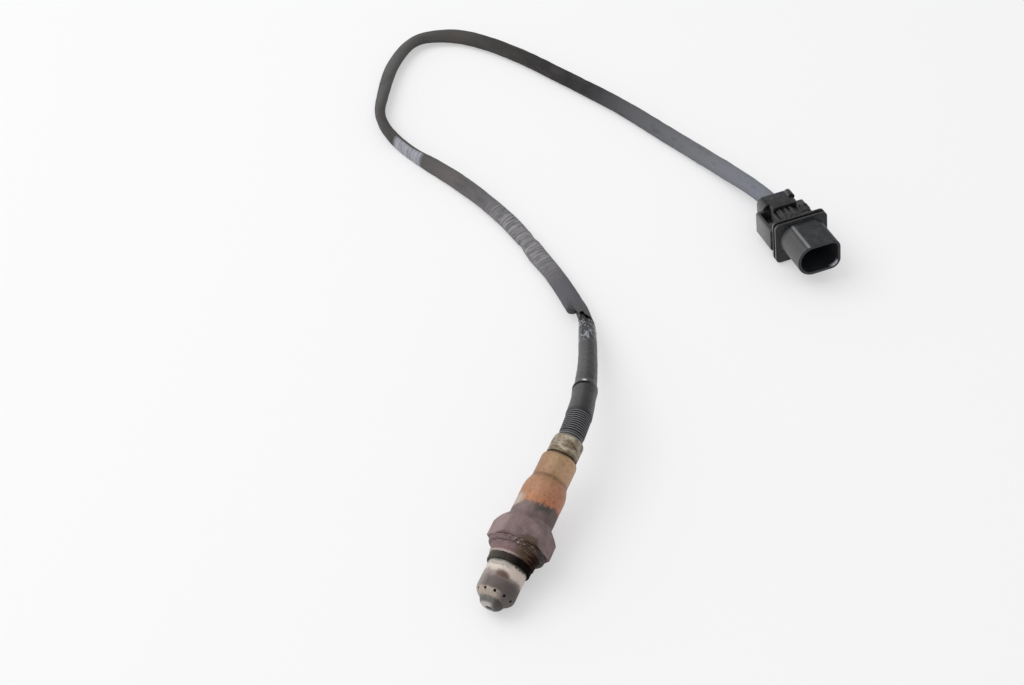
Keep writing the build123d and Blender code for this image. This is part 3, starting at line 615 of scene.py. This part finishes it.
shell = turned("hexagon_and_thread", [
    (-13.35, 7.9, 0), (-13.4, 8.6, 0.1), (-8.4, HEX_CORNER, 0.3), (-2.475, HEX_CORNER, 0.25),
    (-2.1, 11.3, 0.2), (-2.1, 8.3, 0.1), (-0.05, 8.3, 0.1), (0.0, 9.0, 0.05), (3.4, 9.0, 0.1),
    (THREAD_END, 8.6, 0.1), (3.95, 8.3, 0.05), (4.15, 8.55, 0.12), (6.7, 8.5, 0.5),
    (6.7, 7.62, 0.1), (5.4, 7.62, 0),
], 360, 0.12, shell_shape)
dress(shell, shell_paint(), "shell_steel", "hex_shell")


def ring_shape(station, radius, angle, place):
    # the fold of the crushed ring wanders round it and closes in places
    line = -1.05 + 0.10 * np.sin(angle * 2 + 0.6)
    fold = 0.30 * np.exp(-((station - line) / 0.16) ** 2) * ease(rough(place, 3.0, 4), -0.5, 0.2)
    outer = radius > 9.2
    return radius + (dents(place, (0.09, 1.8, 5), (0.06, 0.7, 6)) - 0.08 - fold) * outer


ring = turned("sealing_ring", [
    (-2.05, 8.4, 0), (-2.1, 11.0, 0.35), (-1.6, 11.25, 0.3), (-0.7, 11.2, 0.5),
    (-0.1, 10.75, 0.5), (0.0, 10.1, 0.3), (-0.05, 9.5, 0.2), (-0.1, 8.4, 0),
], 300, 0.1, ring_shape)
dress(ring, ring_paint(), "ring_steel", "seal_ring")

TUBE_RADIUS = 7.6
TUBE_SHOULDER = 16.8
# the gas holes stand square on the tube's round shoulder, and one hole opens its nose
SHOULDER_ROUND = 3.0
HOLE_SLOPE = radians(36)
HOLE_COUNT = 11
FIRST_HOLE = 16
HOLE_RADIUS = 0.575
NOSE_HOLE = 22.7
NOSE_HOLE_RADIUS = 1.4
DRILL_LENGTH = 2.6


def tube_shape(station, radius, angle, place):
    return radius + dents(place, (0.05, 3.2, 8), (0.02, 1.0, 9)) - 0.04


tube = turned("outer_tube", [
    (5.35, 7.1, 0), (5.2, TUBE_RADIUS, 0.1), (TUBE_SHOULDER, TUBE_RADIUS, 0.7),
    (17.9, 7.4, 0.6), (18.95, 6.72, 0.7), (20.3, 4.98, 0.3), (20.5, 4.78, 0.2),
    (21.3, 4.55, 0.5), (22.2, 3.85, 0.5), (22.8, 2.85, 0.4), (23.0, 2.0, 0.3), (23.0, 0.6, 0.0),
    (22.5, 0.6, 0.0), (22.4, 2.0, 0.3), (21.9, 3.2, 0.4), (20.6, 4.2, 0.3), (20.2, 4.4, 0.3),
    (18.6, 6.4, 0.5), (TUBE_SHOULDER, 7.1, 0.5), (5.35, 7.1, 0),
], 160, 0.3, tube_shape)
ring_radius = TUBE_RADIUS - SHOULDER_ROUND + SHOULDER_ROUND * cos(HOLE_SLOPE)
ring_station = TUBE_SHOULDER + SHOULDER_ROUND * sin(HOLE_SLOPE)
drills = [(station_point(NOSE_HOLE), TIP, NOSE_HOLE_RADIUS)]
for n in range(HOLE_COUNT):
    turn = radians(FIRST_HOLE + 360 / HOLE_COUNT * n)
    outward = SIDE * cos(turn) + UP * sin(turn)
    spot = station_point(ring_station) + outward * ring_radius
    drills.append((spot, outward * cos(HOLE_SLOPE) + TIP * sin(HOLE_SLOPE), HOLE_RADIUS))
cutters = bmesh.new()
for spot, heading, radius in drills:
    turn_to = Vector(heading).to_track_quat("Z", "Y").to_matrix().to_4x4()
    stand = Matrix.Translation(Vector(spot * MM)) @ turn_to
    bmesh.ops.create_cone(cutters, cap_ends=True, segments=24, radius1=radius * MM,
                          radius2=radius * MM, depth=DRILL_LENGTH * MM, matrix=stand)
cutter_mesh = bpy.data.meshes.new("drills")
cutters.to_mesh(cutter_mesh)
cutters.free()
cutter = link(bpy.data.objects.new("drills", cutter_mesh))
holes = tube.modifiers.new("holes", "BOOLEAN")
holes.operation = "DIFFERENCE"
holes.solver = "EXACT"
holes.object = cutter
place_again(settle(tube))
bpy.data.objects.remove(cutter)
dress(tube, tube_paint(), "tube_steel", "outer_protection_tube")

WELD = -14.3


def sleeve_shape(station, radius, angle, place):
    outer = radius > 5.9
    weld = 0.07 * np.exp(-((station - WELD) / 0.35) ** 2) * (1 + 0.3 * np.sin(angle * 60))
    uneven = dents(place, (0.05, 4.0, 11), (0.02, 1.2, 12))
    return radius + (uneven - weld) * outer - 0.05 * outer


sleeve = turned("sleeve", [
    (-13.45, 8.1, 0), (-13.4, 8.6, 0.15), (-26.2, 8.6, 0.8), (-28.2, 8.25, 1.2),
    (-30.4, 7.42, 1.0), (-31.4, 7.2, 0.5), (-40.1, 7.2, 0.4), (-41.1, 6.95, 0.5),
    (-41.6, 6.4, 0.3), (-41.6, 5.8, 0.1), (-41.0, 5.75, 0),
], 224, 0.2, sleeve_shape)
dress(sleeve, sleeve_paint(), "sleeve_steel", "protective_sleeve")


def collar_shape(station, radius, angle, place):
    outer = radius > 5.2
    return radius + dents(place, (0.06, 2.2, 14), (0.03, 0.9, 15)) * outer - 0.05 * outer


collar = turned("collar", [
    (-40.9, 5.6, 0), (-42.4, 5.6, 0.05), (-42.4, 6.25, 0.35), (-49.4, 6.25, 0.5),
    (-50.4, 5.7, 0.35), (-50.4, 4.75, 0.1), (-49.0, 4.65, 0),
], 192, 0.16, collar_shape)
dress(collar, collar_paint(), "collar_steel", "crimp_collar")

# ======================= boot and shrink sleeve =======================
tail_corners = [tuple(station_point(BOOT_ROOT)), tuple(station_point(BOOT_CORNER))]
tail = Path(spline_points("tail_line", [*tail_corners, *SLEEVE_ROUTE, LEAD_ROUTE[0]], 60))
lead = Path(spline_points("lead_line", LEAD_ROUTE, 44))


def tail_and_lead(start, end):
    """The tail's line from a length on, and then the lead's up to a length."""
    # the lead starts where the tail ends, so its first points are left out
    goes_on = lead.points[(lead.lengths > 0.3) & (lead.lengths < end)]
    return Path(np.concatenate([tail.points[tail.lengths >= start], goes_on]))


# the pinched end of the shrink sleeve goes on into the braid
PINCHED = 6.0
wrap = tail_and_lead(0.0, PINCHED)
BAND_END = 4.6
RIBS_START = 6.9
RIBS_END = 16.3
RIB_PITCH = 0.94
BOOT_END = 22.0


def boot_section(length, angle):
    wave = ((length - RIBS_START) / RIB_PITCH) % 1.0
    rib = ease(np.abs(wave - 0.5) * -2 + 1, 0.28, 0.72)
    on_ribs = (length > RIBS_START) & (length < RIBS_END)
    radius = np.where(on_ribs, 4.50 + 0.60 * rib, np.where(length < RIBS_START, 4.95, 4.35))
    radius = np.where(length < BAND_END, 4.65, radius)
    radius = radius + dents(round_place(length, radius, angle), (0.03, 1.6, 21))
    return radius * np.cos(angle), radius * np.sin(angle), 0


boot_rows = np.concatenate([
    np.linspace(0.2, RIBS_START, 16),
    np.arange(RIBS_START, RIBS_END, 0.088)[1:],
    np.linspace(RIBS_END, BOOT_END, 18),
])
boot = swept("ribbed_boot", tail, boot_rows, 96, boot_section)


def rubber_paint():
    """Black rubber with pale ribs' crests: a painted highlight, made patchy by pale dust."""
    paint = Paint("boot_rubber", specular=0.45)
    place, along, _, _ = paint.place()
    fine = paint.noise(place, 1.3, 4, 0.6)
    dust = paint.noise(place, 3.2, 4, 0.7)
    wave = paint.maths("DIVIDE", paint.minus(along, RIBS_START), RIB_PITCH)
    wave = paint.maths("FRACT", wave)
    height = paint.minus(1.0, paint.times(paint.away(wave, 0.5), 2.0))
    # the ribs' crests are painted paler: a painted highlight, made patchy by dust
    crest = paint.overlap((height, 0.66, 0.94), (along, RIBS_END, RIBS_END - 0.1))
    colour = paint.touch((28, 29, 32), (42, 42, 46), fine, 0.3, 0.7)
    crest_highlight_and_dust = paint.times(crest, paint.span(dust, 0.3, 0.6, 0.55, 1.0))
    colour = paint.mix(crest_highlight_and_dust, colour, (144, 144, 148))
    return paint.finish(colour, paint.span(dust, 0.3, 0.7, 0.42, 0.62), (dust, 0.03, 0.5))


dress(boot, rubber_paint(), "boot_rubber", "corrugated_boot")

# the fold on top of the shrink sleeve, which bends round like a smile
FOLD = 30.4
FOLD_BEND = 1.6
FOLD_TURN = radians(70)


def shrink_section(length, angle):
    radius = np.interp(
        length,
        [15.9, 16.3, 22.0, 27.0, 29.8, 31.7, 33.2, 34.4, 35.6, 40.0, 46.0, 52.0, 79.0, 84.0,
         88.0, 92.0, 99.0],
        [4.60, 5.30, 5.05, 4.85, 5.00, 5.10, 5.05, 4.75, 4.45, 4.42, 4.18, 3.98, 3.90, 3.55,
         3.10, 2.90, 2.50])
    flat = ease(length, tail.total - 20, tail.total - 4)
    tall = radius * (1 - 0.25 * flat)
    place = round_place(length, radius, angle)
    folds = dents(place * np.array([0.25, 1, 1]), (0.16, 2.6, 31)) + dents(place, (0.07, 1.6, 32))
    pinch = flat * 0.60 * rough(place * np.array([0.6, 1, 1]), 1.4, 33)
    bent = length - FOLD_BEND * np.cos(angle - FOLD_TURN)
    crease = 1.2 * np.exp(-((bent - FOLD) / 0.5) ** 2)
    crease = crease * ease(np.cos(angle - radians(50)), 0.35, 0.9)
    change = folds * ease(length, 26, 34) + pinch - crease
    # the end is drawn in on its left
    drawn = np.interp(length, [74, 82, 88, 99], [1.0, 0.74, 0.48, 0.40])
    drawn = np.where(np.cos(angle) > 0, drawn, 1.0)
    return (radius + change) * np.cos(angle) * drawn, (tall + change) * np.sin(angle), 0


shrink_rows = np.concatenate([[15.6], np.arange(15.8, wrap.total, 0.3), [wrap.total]])
shrink = swept("shrink_sleeve", wrap, shrink_rows, 88, shrink_section)


def shrink_paint():
    """Shrink sleeve: grey plastic with a painted dark reflection stripe, painted shade and a
    painted glint in the fold, and a wrinkled shiny end with painted glints and dark reflections.
    """
    paint = Paint("shrink_plastic", specular=0.6)
    place, along, across, height = paint.place()
    fine = paint.noise(place, 0.9, 4, 0.6)
    dust = paint.noise(place, 2.6, 5, 0.7)
    end = paint.span(along, tail.total - 27.0, tail.total - 22.5)
    colour = paint.touch((50, 50, 52), (68, 68, 70), fine, 0.35, 0.70)
    # a painted dark reflection: a darker stripe runs along its upper right
    turn = paint.maths("ARCTAN2", height, across)
    off = paint.maths("ABSOLUTE", paint.plus(turn, paint.span(fine, 0.3, 0.7, -2.1, -1.7)))
    colour = paint.touch(colour, (20, 20, 22), off, 0.55, 0.20, 0.90)
    colour = paint.touch(colour, (14, 14, 16), along, 18.4, 16.8)
    # painted shade and a painted glint in the fold, and a dark blot behind it
    bent = paint.maths("COSINE", paint.minus(turn, FOLD_TURN))
    bent = paint.maths("MULTIPLY_ADD", bent, -FOLD_BEND, along)
    fold = paint.times(paint.span(paint.away(bent, FOLD), 1.0, 0.5), paint.span(turn, 2.1, 1.8))
    colour = paint.mix(fold, colour, (8, 8, 9))
    glint = paint.span(paint.away(bent, FOLD + 1.3), 0.60, 0.25)
    glint = paint.times(glint, paint.span(turn, 1.20, 1.42), paint.span(turn, 1.72, 1.52))
    colour = paint.mix(glint, colour, (215, 216, 220))
    blot = paint.span(paint.away(along, 35.0), 2.4, 1.0)
    blot = paint.times(blot, paint.span(paint.away(turn, 2.1), 0.30, 0.12))
    colour = paint.mix(blot, colour, (10, 10, 11))
    # the end is wrinkled and glossy, with painted glints and painted dark reflections on its left
    # and on top
    wrinkles = paint.noise(paint.scaled(place, (0.7, 1.0, 1.0)), 0.42, 3, 0.55, 0.5)
    wrinkled = paint.ramp(wrinkles, [
        (0.34, 8, 8, 10), (0.50, 22, 22, 26), (0.555, 56, 57, 64), (0.585, 160, 162, 172),
        (0.62, 60, 61, 68), (0.74, 14, 14, 16),
    ])
    colour = paint.mix(paint.times(end, paint.span(turn, 2.25, 1.85)), colour, wrinkled)
    tip = paint.span(along, tail.total - 6.5, tail.total - 4.5, 0.0, 0.92)
    colour = paint.mix(tip, colour, (8, 8, 9))
    dark = paint.maths("MAXIMUM", paint.maths("MAXIMUM", fold, tip), paint.times(end, 0.5))
    paint.shine(paint.span(dark, 0.0, 1.0, 0.55, 0.15))
    roughness = paint.minus(paint.span(dust, 0.3, 0.7, 0.36, 0.54), paint.times(end, 0.26))
    return paint.finish(colour, roughness, (fine, 0.10, 0.6), (dust, 0.03, 0.5))


dress(shrink, shrink_paint(), "shrink_plastic", "heat_shrink_sleeve")


# ======================= woven lead =======================
def lead_twist(length):
    """How far the flattened lead is turned from lying flat, along its length."""
    stops = [0, 20, 90, 114, 138, 170, 186, 210, 234, 246, 262, 340, 400, 440, 476]
    turns = [0, -12, -14, -45, -88, -86, -42, -22, -20, -3, 26, 24, 28, 20, 0]
    return np.radians(np.interp(length, stops, turns))


def rounded_part(size, wave, power):
    return size * np.sign(wave) * np.abs(wave) ** power


def lead_section(length, angle):
    twist = lead_twist(length)
    stops = [0, 12, 30, 54, 90, 126, 170, 240, 258, 300, 366, 438, 460, 476]
    widths = [4.2, 4.3, 4.1, 4.1, 3.9, 3.9, 3.6, 3.7, 3.9, 3.9, 4.0, 4.3, 4.1, 3.9]
    wide = np.interp(length, stops, widths)
    # a kink, where the lead has once been folded
    kink = np.exp(-((length - 44) / 7) ** 2)
    wide = wide + 0.25 * kink - 0.50 * np.exp(-((length - 55) / 2.2) ** 2)
    stops = [0, 9, 38, 200, 440, 462, 476]
    thin = np.interp(length, stops, [3.1, 2.9, 2.35, 2.3, 2.4, 2.9, 3.2])
    a = rounded_part(wide, np.cos(angle), 0.88)
    b = rounded_part(thin, np.sin(angle), 0.94)
    swell = 1 + 0.030 * rough(np.stack([length, a, b], axis=-1), 7.0, 41)
    swell = swell + 0.020 * rough(np.stack([length, a, b], axis=-1), 2.6, 42)
    left = (a * np.cos(twist) - b * np.sin(twist)) * swell + 0.5 * kink
    return left, (a * np.sin(twist) + b * np.cos(twist)) * swell, 0


cable = swept("woven_lead", lead, np.arange(PINCHED - 0.6, lead.total, 0.55), 56, lead_section)

# the braid's frayed end, which reaches back over the shrink sleeve further on its right side
JOIN = 14.0
FRAY_SHOULDER = 5.5
join = tail_and_lead(tail.total - JOIN, 12.0)


def fray_section(length, angle):
    # rows are squeezed towards the lead where the braid is cut shorter
    turned_by = (angle + pi) % tau - pi
    above = 11.4 + 6.4 * np.cos(angle)
    below = 5.0 + 12.8 * ease(turned_by / pi + 1, 0.0, 0.55)
    cut = np.where(turned_by > 0, above, below)
    cut = np.clip(cut + 0.6 * np.sin(angle * 9) + 0.4 * np.sin(angle * 23 + 1), 0.5, 19.0)
    far = join.total - 1.0
    along = cut + (length / join.total) * (far - cut) - length
    spot = (length + along - JOIN) / 9.0
    radii = [3.55, 3.70, 4.0, 4.45, 4.45, 3.6]
    radius = np.interp(spot, [-1.6, -0.9, -0.3, 0.3, 0.8, 1.3], radii)
    tall = radius * np.interp(spot, [-1.6, 0.0, 1.3], [0.86, 0.80, 0.72])
    rim = 0.35 * np.exp(-length / 0.8)
    # on its left and underneath it closes in a round shoulder on to the shrink sleeve
    from_cut = np.clip(length / join.total * (far - cut) / FRAY_SHOULDER, 0.0, 1.0)
    shoulder = np.sqrt(np.clip(1 - (1 - from_cut) ** 2, 0.03, 1.0))
    closed = ease(np.cos(angle), -0.05, 0.55)
    closed = np.maximum(closed, ease(-np.sin(angle), -0.05, 0.45))
    drawn_in = 1 - closed * (1 - shoulder)
    return (radius + rim) * drawn_in * np.cos(angle), (tall + rim) * drawn_in * np.sin(angle), along


fray = swept("braid_end", join, np.linspace(0, join.total, 60), 96, fray_section, closed=False)

# the soft lead is pressed flat where it would pass into the floor
JUST_ABOVE_FLOOR = 0.00005
for piece in (cable, fray):
    for vertex in piece.data.vertices:
        vertex.co.z = max(vertex.co.z, JUST_ABOVE_FLOOR)

STRANDS = 22
STRAND_PITCH = 0.9


def lead_paint():
    """Braid: two sets of flat strands that cross, worn paler in patches."""
    paint = Paint("lead_braid", specular=0.3)
    place, along, across, height = paint.place()
    turn = paint.maths("ARCTAN2", height, across)
    around = paint.times(turn, STRANDS / tau)
    right_lay = paint.maths("SINE", paint.times(paint.plus(along, around), tau / STRAND_PITCH))
    left_lay = paint.maths("SINE", paint.times(paint.minus(along, around), tau / STRAND_PITCH))
    weave = paint.times(right_lay, left_lay)
    broad = paint.noise(paint.scaled(place, (0.35, 1.0, 1.0)), 0.20, 4, 0.6)
    fluff = paint.noise(place, 5.0, 4, 0.7)
    threads = paint.noise(paint.scaled(place, (2.6, 0.16, 0.16)), 1.2, 3, 0.6)
    colour = paint.ramp(along, [
        (0.0, 88, 88, 88), (20.0, 92, 92, 99), (40.0, 110, 108, 110), (90.0, 106, 104, 107),
        (110.0, 104, 99, 98), (130.0, 88, 86, 84), (160.0, 58, 56, 54), (182.0, 78, 76, 74),
        (215.0, 88, 88, 87), (262.0, 70, 67, 64), (300.0, 44, 42, 41), (328.0, 16, 15, 15),
        (345.0, 30, 30, 31), (378.0, 94, 95, 100), (425.0, 122, 124, 129),
        (460.0, 128, 131, 142),
    ], 0.0, 480.0)
    colour = paint.touch(colour, (96, 90, 88), broad, 0.40, 0.70, 0.30)
    colour = paint.touch(colour, (46, 44, 45), broad, 0.45, 0.30, 0.45)
    colour = paint.mix(paint.span(weave, -0.9, 0.2, 0.45, 0.0), colour, (38, 37, 38))
    # worn places where pale threads show: a long one, and a short one at the bend
    long_worn = paint.overlap((along, 24.0, 42.0), (along, 92.0, 74.0),
                              (threads, 0.48, 0.58, 0.0, 0.85))
    colour = paint.mix(long_worn, colour, (158, 156, 160))
    short_worn = paint.overlap((along, 131.0, 133.0), (along, 152.0, 149.0),
                               (height, 0.2, 1.0, 0.0, 0.9))
    pale = paint.touch((108, 108, 120), (172, 172, 180), threads, 0.35, 0.55)
    colour = paint.mix(short_worn, colour, pale)
    colour = paint.touch(colour, (120, 118, 120), fluff, 0.55, 0.75, 0.25)
    roughness = paint.span(fluff, 0.3, 0.7, 0.55, 0.75)
    return paint.finish(colour, roughness, (weave, 0.10, 0.8), (fluff, 0.04, 0.6))


braid = lead_paint()
dress(cable, braid, "lead_braid", "sensor_cable")
dress(fray, braid, "lead_braid")

# ======================= connector =======================
ENTRY = np.array(LEAD_ROUTE[-1])
OUT = unit(ENTRY - np.array(LEAD_ROUTE[-2]))
LEVEL = unit(np.cross([0, 0, 1], OUT))
RAISED = np.cross(OUT, LEVEL)
PLUG_ROLL = radians(6.1)
RIGHT = LEVEL * cos(PLUG_ROLL) + RAISED * sin(PLUG_ROLL)
TOP = np.cross(OUT, RIGHT)
PLATE_FRONT = 26.6
MOUTH = PLATE_FRONT + 17.2
SHROUD_CENTRE = RIGHT * 1.5 - TOP * 0.8
STRIPE_LEAN = radians(15)


def plastic_paint():
    """Black plastic with dust, a painted window reflection on its lit side, a painted highlight
    stripe along the shroud and a dark mouth with a painted glint.
    """
    paint = Paint("connector_plastic", specular=0.5)
    spot = paint.world()
    fine = paint.noise(spot, 1.4, 4, 0.6)
    dust = paint.noise(spot, 0.35, 5, 0.7)
    grain = paint.noise(spot, 9.0, 2, 0.6)
    from_entry = paint.vector("SUBTRACT", spot, ENTRY)
    surface = paint.node("NewGeometry").outputs["Normal"]
    depth = paint.dot(from_entry, OUT)
    on_shroud = paint.span(depth, PLATE_FRONT - 0.3, PLATE_FRONT + 0.3)
    colour = paint.touch((20, 21, 23), (30, 31, 34), fine, 0.35, 0.7)
    colour = paint.mix(paint.times(on_shroud, 0.35), colour, (52, 54, 57))
    colour = paint.touch(colour, (92, 90, 86), dust, 0.48, 0.70, 0.26)
    # painted reflection of the window: paler grey on the side that faces it
    window_reflection = paint.times(paint.span(paint.dot(surface, WINDOW), 0.45, 0.95), 0.85)
    colour = paint.mix(window_reflection, colour, (98, 98, 97))
    # painted highlight: a bright stripe along the shroud's rounded upper left edge
    stripe = paint.dot(surface, TOP * cos(STRIPE_LEAN) - RIGHT * sin(STRIPE_LEAN))
    off_top = paint.span(paint.dot(surface, TOP), 0.9990, 0.9940)
    stripe = paint.times(paint.span(stripe, 0.975, 0.992), off_top, on_shroud)
    stripe = paint.times(stripe, paint.span(fine, 0.3, 0.6, 0.7, 1.0))
    colour = paint.mix(stripe, colour, (188, 190, 194))
    # dark inside the shroud and shining less there, with a painted glint at the lower right of its
    # rim
    centre = paint.vector("SUBTRACT", from_entry, SHROUD_CENTRE)
    across = paint.dot(centre, RIGHT)
    raised = paint.dot(centre, TOP)
    outward = paint.times(across, paint.dot(surface, RIGHT))
    outward = paint.plus(outward, paint.times(raised, paint.dot(surface, TOP)))
    inside = paint.times(paint.span(outward, -0.6, -2.0), on_shroud)
    colour = paint.mix(paint.times(inside, 0.95), colour, (34, 35, 39))
    glint = paint.times(paint.span(across, 4.6, 6.6), paint.span(raised, -3.2, -4.8), inside)
    glint = paint.times(glint, paint.span(depth, MOUTH - 1.0, MOUTH))
    glint = paint.times(glint, paint.span(fine, 0.35, 0.5, 0.5, 1.0))
    colour = paint.mix(glint, colour, (186, 188, 194))
    paint.shine(paint.span(inside, 0.0, 1.0, 0.30, 0.12))
    roughness = paint.span(fine, 0.3, 0.7, 0.24, 0.40)
    return paint.finish(colour, roughness, (grain, 0.02, 0.5), (fine, 0.04, 0.4))


def softened(name, node, rounding):
    """A copy of a CAD node with its edges rounded."""
    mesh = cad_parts[node].data.copy()
    mesh.name = name
    work = bmesh.new()
    work.from_mesh(mesh)
    bmesh.ops.remove_doubles(work, verts=work.verts, dist=2e-6)
    bmesh.ops.dissolve_limit(work, angle_limit=radians(1.0), verts=work.verts, edges=work.edges)
    work.to_mesh(mesh)
    work.free()
    piece = link(bpy.data.objects.new(name, mesh))
    bevel = piece.modifiers.new("edges", "BEVEL")
    bevel.width = rounding * MM
    bevel.segments = 2
    bevel.limit_method = "ANGLE"
    bevel.angle_limit = radians(32)
    rounded = settle(piece)
    rounded.shade_smooth()
    rounded.set_sharp_from_angle(angle=radians(42))
    return piece


plastic = plastic_paint()
for name, node, rounding in (
    ("plug_housing", "connector_housing", 0.22),
    ("plug_rear_cover", "rear_cover", 0.22),
    ("plug_contact_lock", "contact_lock", 0.12),
):
    piece = softened(name, node, rounding)
    dress(piece, plastic, "connector_plastic", node)


# ======================= inner pieces seen through openings =======================
def plain_paint(name, low, high, roughness, metallic):
    paint = Paint(name, metallic=metallic)
    spot = paint.world()
    fine = paint.noise(spot, 1.2, 4, 0.6)
    grit = paint.noise(spot, 5.0, 3, 0.65)
    colour = paint.mix(paint.span(fine, 0.3, 0.7), low, high)
    roughness = paint.span(grit, 0.3, 0.7, roughness - 0.08, roughness + 0.08)
    return paint.finish(colour, roughness, (grit, 0.03, 0.5))


# material, darkest and palest tone, roughness, metallic, and the CAD nodes that wear it
for name, low, high, roughness, metallic, *nodes in (
    ("inner_tube_steel", (60, 54, 52), (88, 80, 76), 0.5, 0.5, "inner_protection_tube"),
    ("element_ceramic", (196, 194, 186), (226, 224, 216), 0.5, 0.0, "sensing_element"),
    ("bush_ceramic", (214, 208, 190), (236, 230, 214), 0.6, 0.0,
     "front_ceramic_bush", "rear_ceramic_bush", "contact_holder"),
    ("packing_powder", (188, 186, 172), (208, 206, 196), 0.8, 0.0, "powder_packing"),
    ("contact_metal", (170, 150, 100), (200, 186, 150), 0.35, 0.9,
     "contact_springs", "wire_crimps", "contact_pins"),
    ("clamp_steel", (120, 116, 110), (156, 152, 146), 0.4, 0.8, "holder_clamp"),
    ("grommet_rubber", (46, 30, 20), (72, 48, 32), 0.7, 0.0, "cable_grommet"),
    ("wire_insulation", (150, 150, 148), (180, 180, 178), 0.5, 0.0, "sensor_wires"),
    ("seal_rubber", (128, 58, 40), (152, 76, 54), 0.6, 0.0, "wire_seal"),
    ("resistor_ceramic", (70, 86, 112), (92, 108, 134), 0.5, 0.0, "trim_resistor"),
):
    material = plain_paint(name, low, high, roughness, metallic)
    for node in nodes:
        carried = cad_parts[node].data
        carried.materials.clear()
        carried.materials.append(material)

# ======================= floor, light and camera =======================
FLOOR_HALF = 6
FLOOR_GLOW = 0.46
corners = [(-1, -1, 0), (1, -1, 0), (1, 1, 0), (-1, 1, 0)]
floor_mesh = bpy.data.meshes.new("floor")
floor_mesh.from_pydata((np.array(corners) * FLOOR_HALF).tolist(), [], [(0, 1, 2, 3)])
floor = link(bpy.data.objects.new("floor", floor_mesh))
floor_paint = Paint("floor_paint", specular=0.1)
floor_paint.finish(tone(242, 242, 243), 0.9)
# seen by the camera, in metal or through glass the floor is paler, as in a bright room
glow = floor_paint.node("Emission", {"Color": tone(247, 247, 248), "Strength": 1.0})
rays = floor_paint.node("LightPath").outputs
seen = floor_paint.maths("MAXIMUM", rays["Is Camera Ray"], rays["Is Glossy Ray"])
seen = floor_paint.maths("MAXIMUM", seen, rays["Is Transmission Ray"])
blend = floor_paint.node("MixShader", {
    0: floor_paint.times(seen, FLOOR_GLOW),
    1: floor_paint.shader.outputs[0],
    2: glow.outputs[0],
})
output = floor_paint.tree.nodes["Material Output"]
floor_paint.feed(output.inputs["Surface"], blend.outputs[0])
floor_mesh.materials.append(floor_paint.material)

world = bpy.data.worlds.new("studio")
bpy.context.scene.world = world
world.use_nodes = True
sky = world.node_tree.nodes
wire = world.node_tree.links.new
background = sky["Background"]
background.inputs[0].default_value = (1.0, 1.0, 1.0, 1)
# the room is brighter on the side of its window and darker opposite it
toward_window = sky.new("ShaderNodeVectorMath")
toward_window.operation = "DOT_PRODUCT"
toward_window.inputs[1].default_value = WINDOW
wire(sky.new("ShaderNodeTexCoord").outputs["Generated"], toward_window.inputs[0])
fall = sky.new("ShaderNodeMapRange")
for socket, value in ((1, -0.9), (2, 0.9), (3, 0.50), (4, 1.10)):
    fall.inputs[socket].default_value = value
wire(toward_window.outputs["Value"], fall.inputs[0])
wire(fall.outputs[0], background.inputs[1])

LAMP_SPOT = Vector((0.12, -0.85, 1.15))
LAMP_AIM = Vector((-0.08, -0.05, 0.0))
lamp_data = bpy.data.lights.new("key", "AREA")
lamp_data.shape = "SQUARE"
lamp_data.size = 1.0
lamp_data.energy = 7.5
lamp = link(bpy.data.objects.new("key", lamp_data))
lamp.location = LAMP_SPOT
lamp.rotation_euler = (LAMP_AIM - LAMP_SPOT).to_track_quat("-Z", "Y").to_euler()

camera_data = bpy.data.cameras.new("camera")
camera_data.lens = 52.73
camera_data.sensor_width = 36.0
camera_data.clip_start = 0.01
camera = link(bpy.data.objects.new("camera", camera_data))
camera.location = (0.3188, 0.1354, 0.4584)
camera.rotation_euler = (radians(44), 0, radians(114.83))
bpy.context.scene.camera = camera
bpy.context.scene.view_settings.view_transform = "Standard"
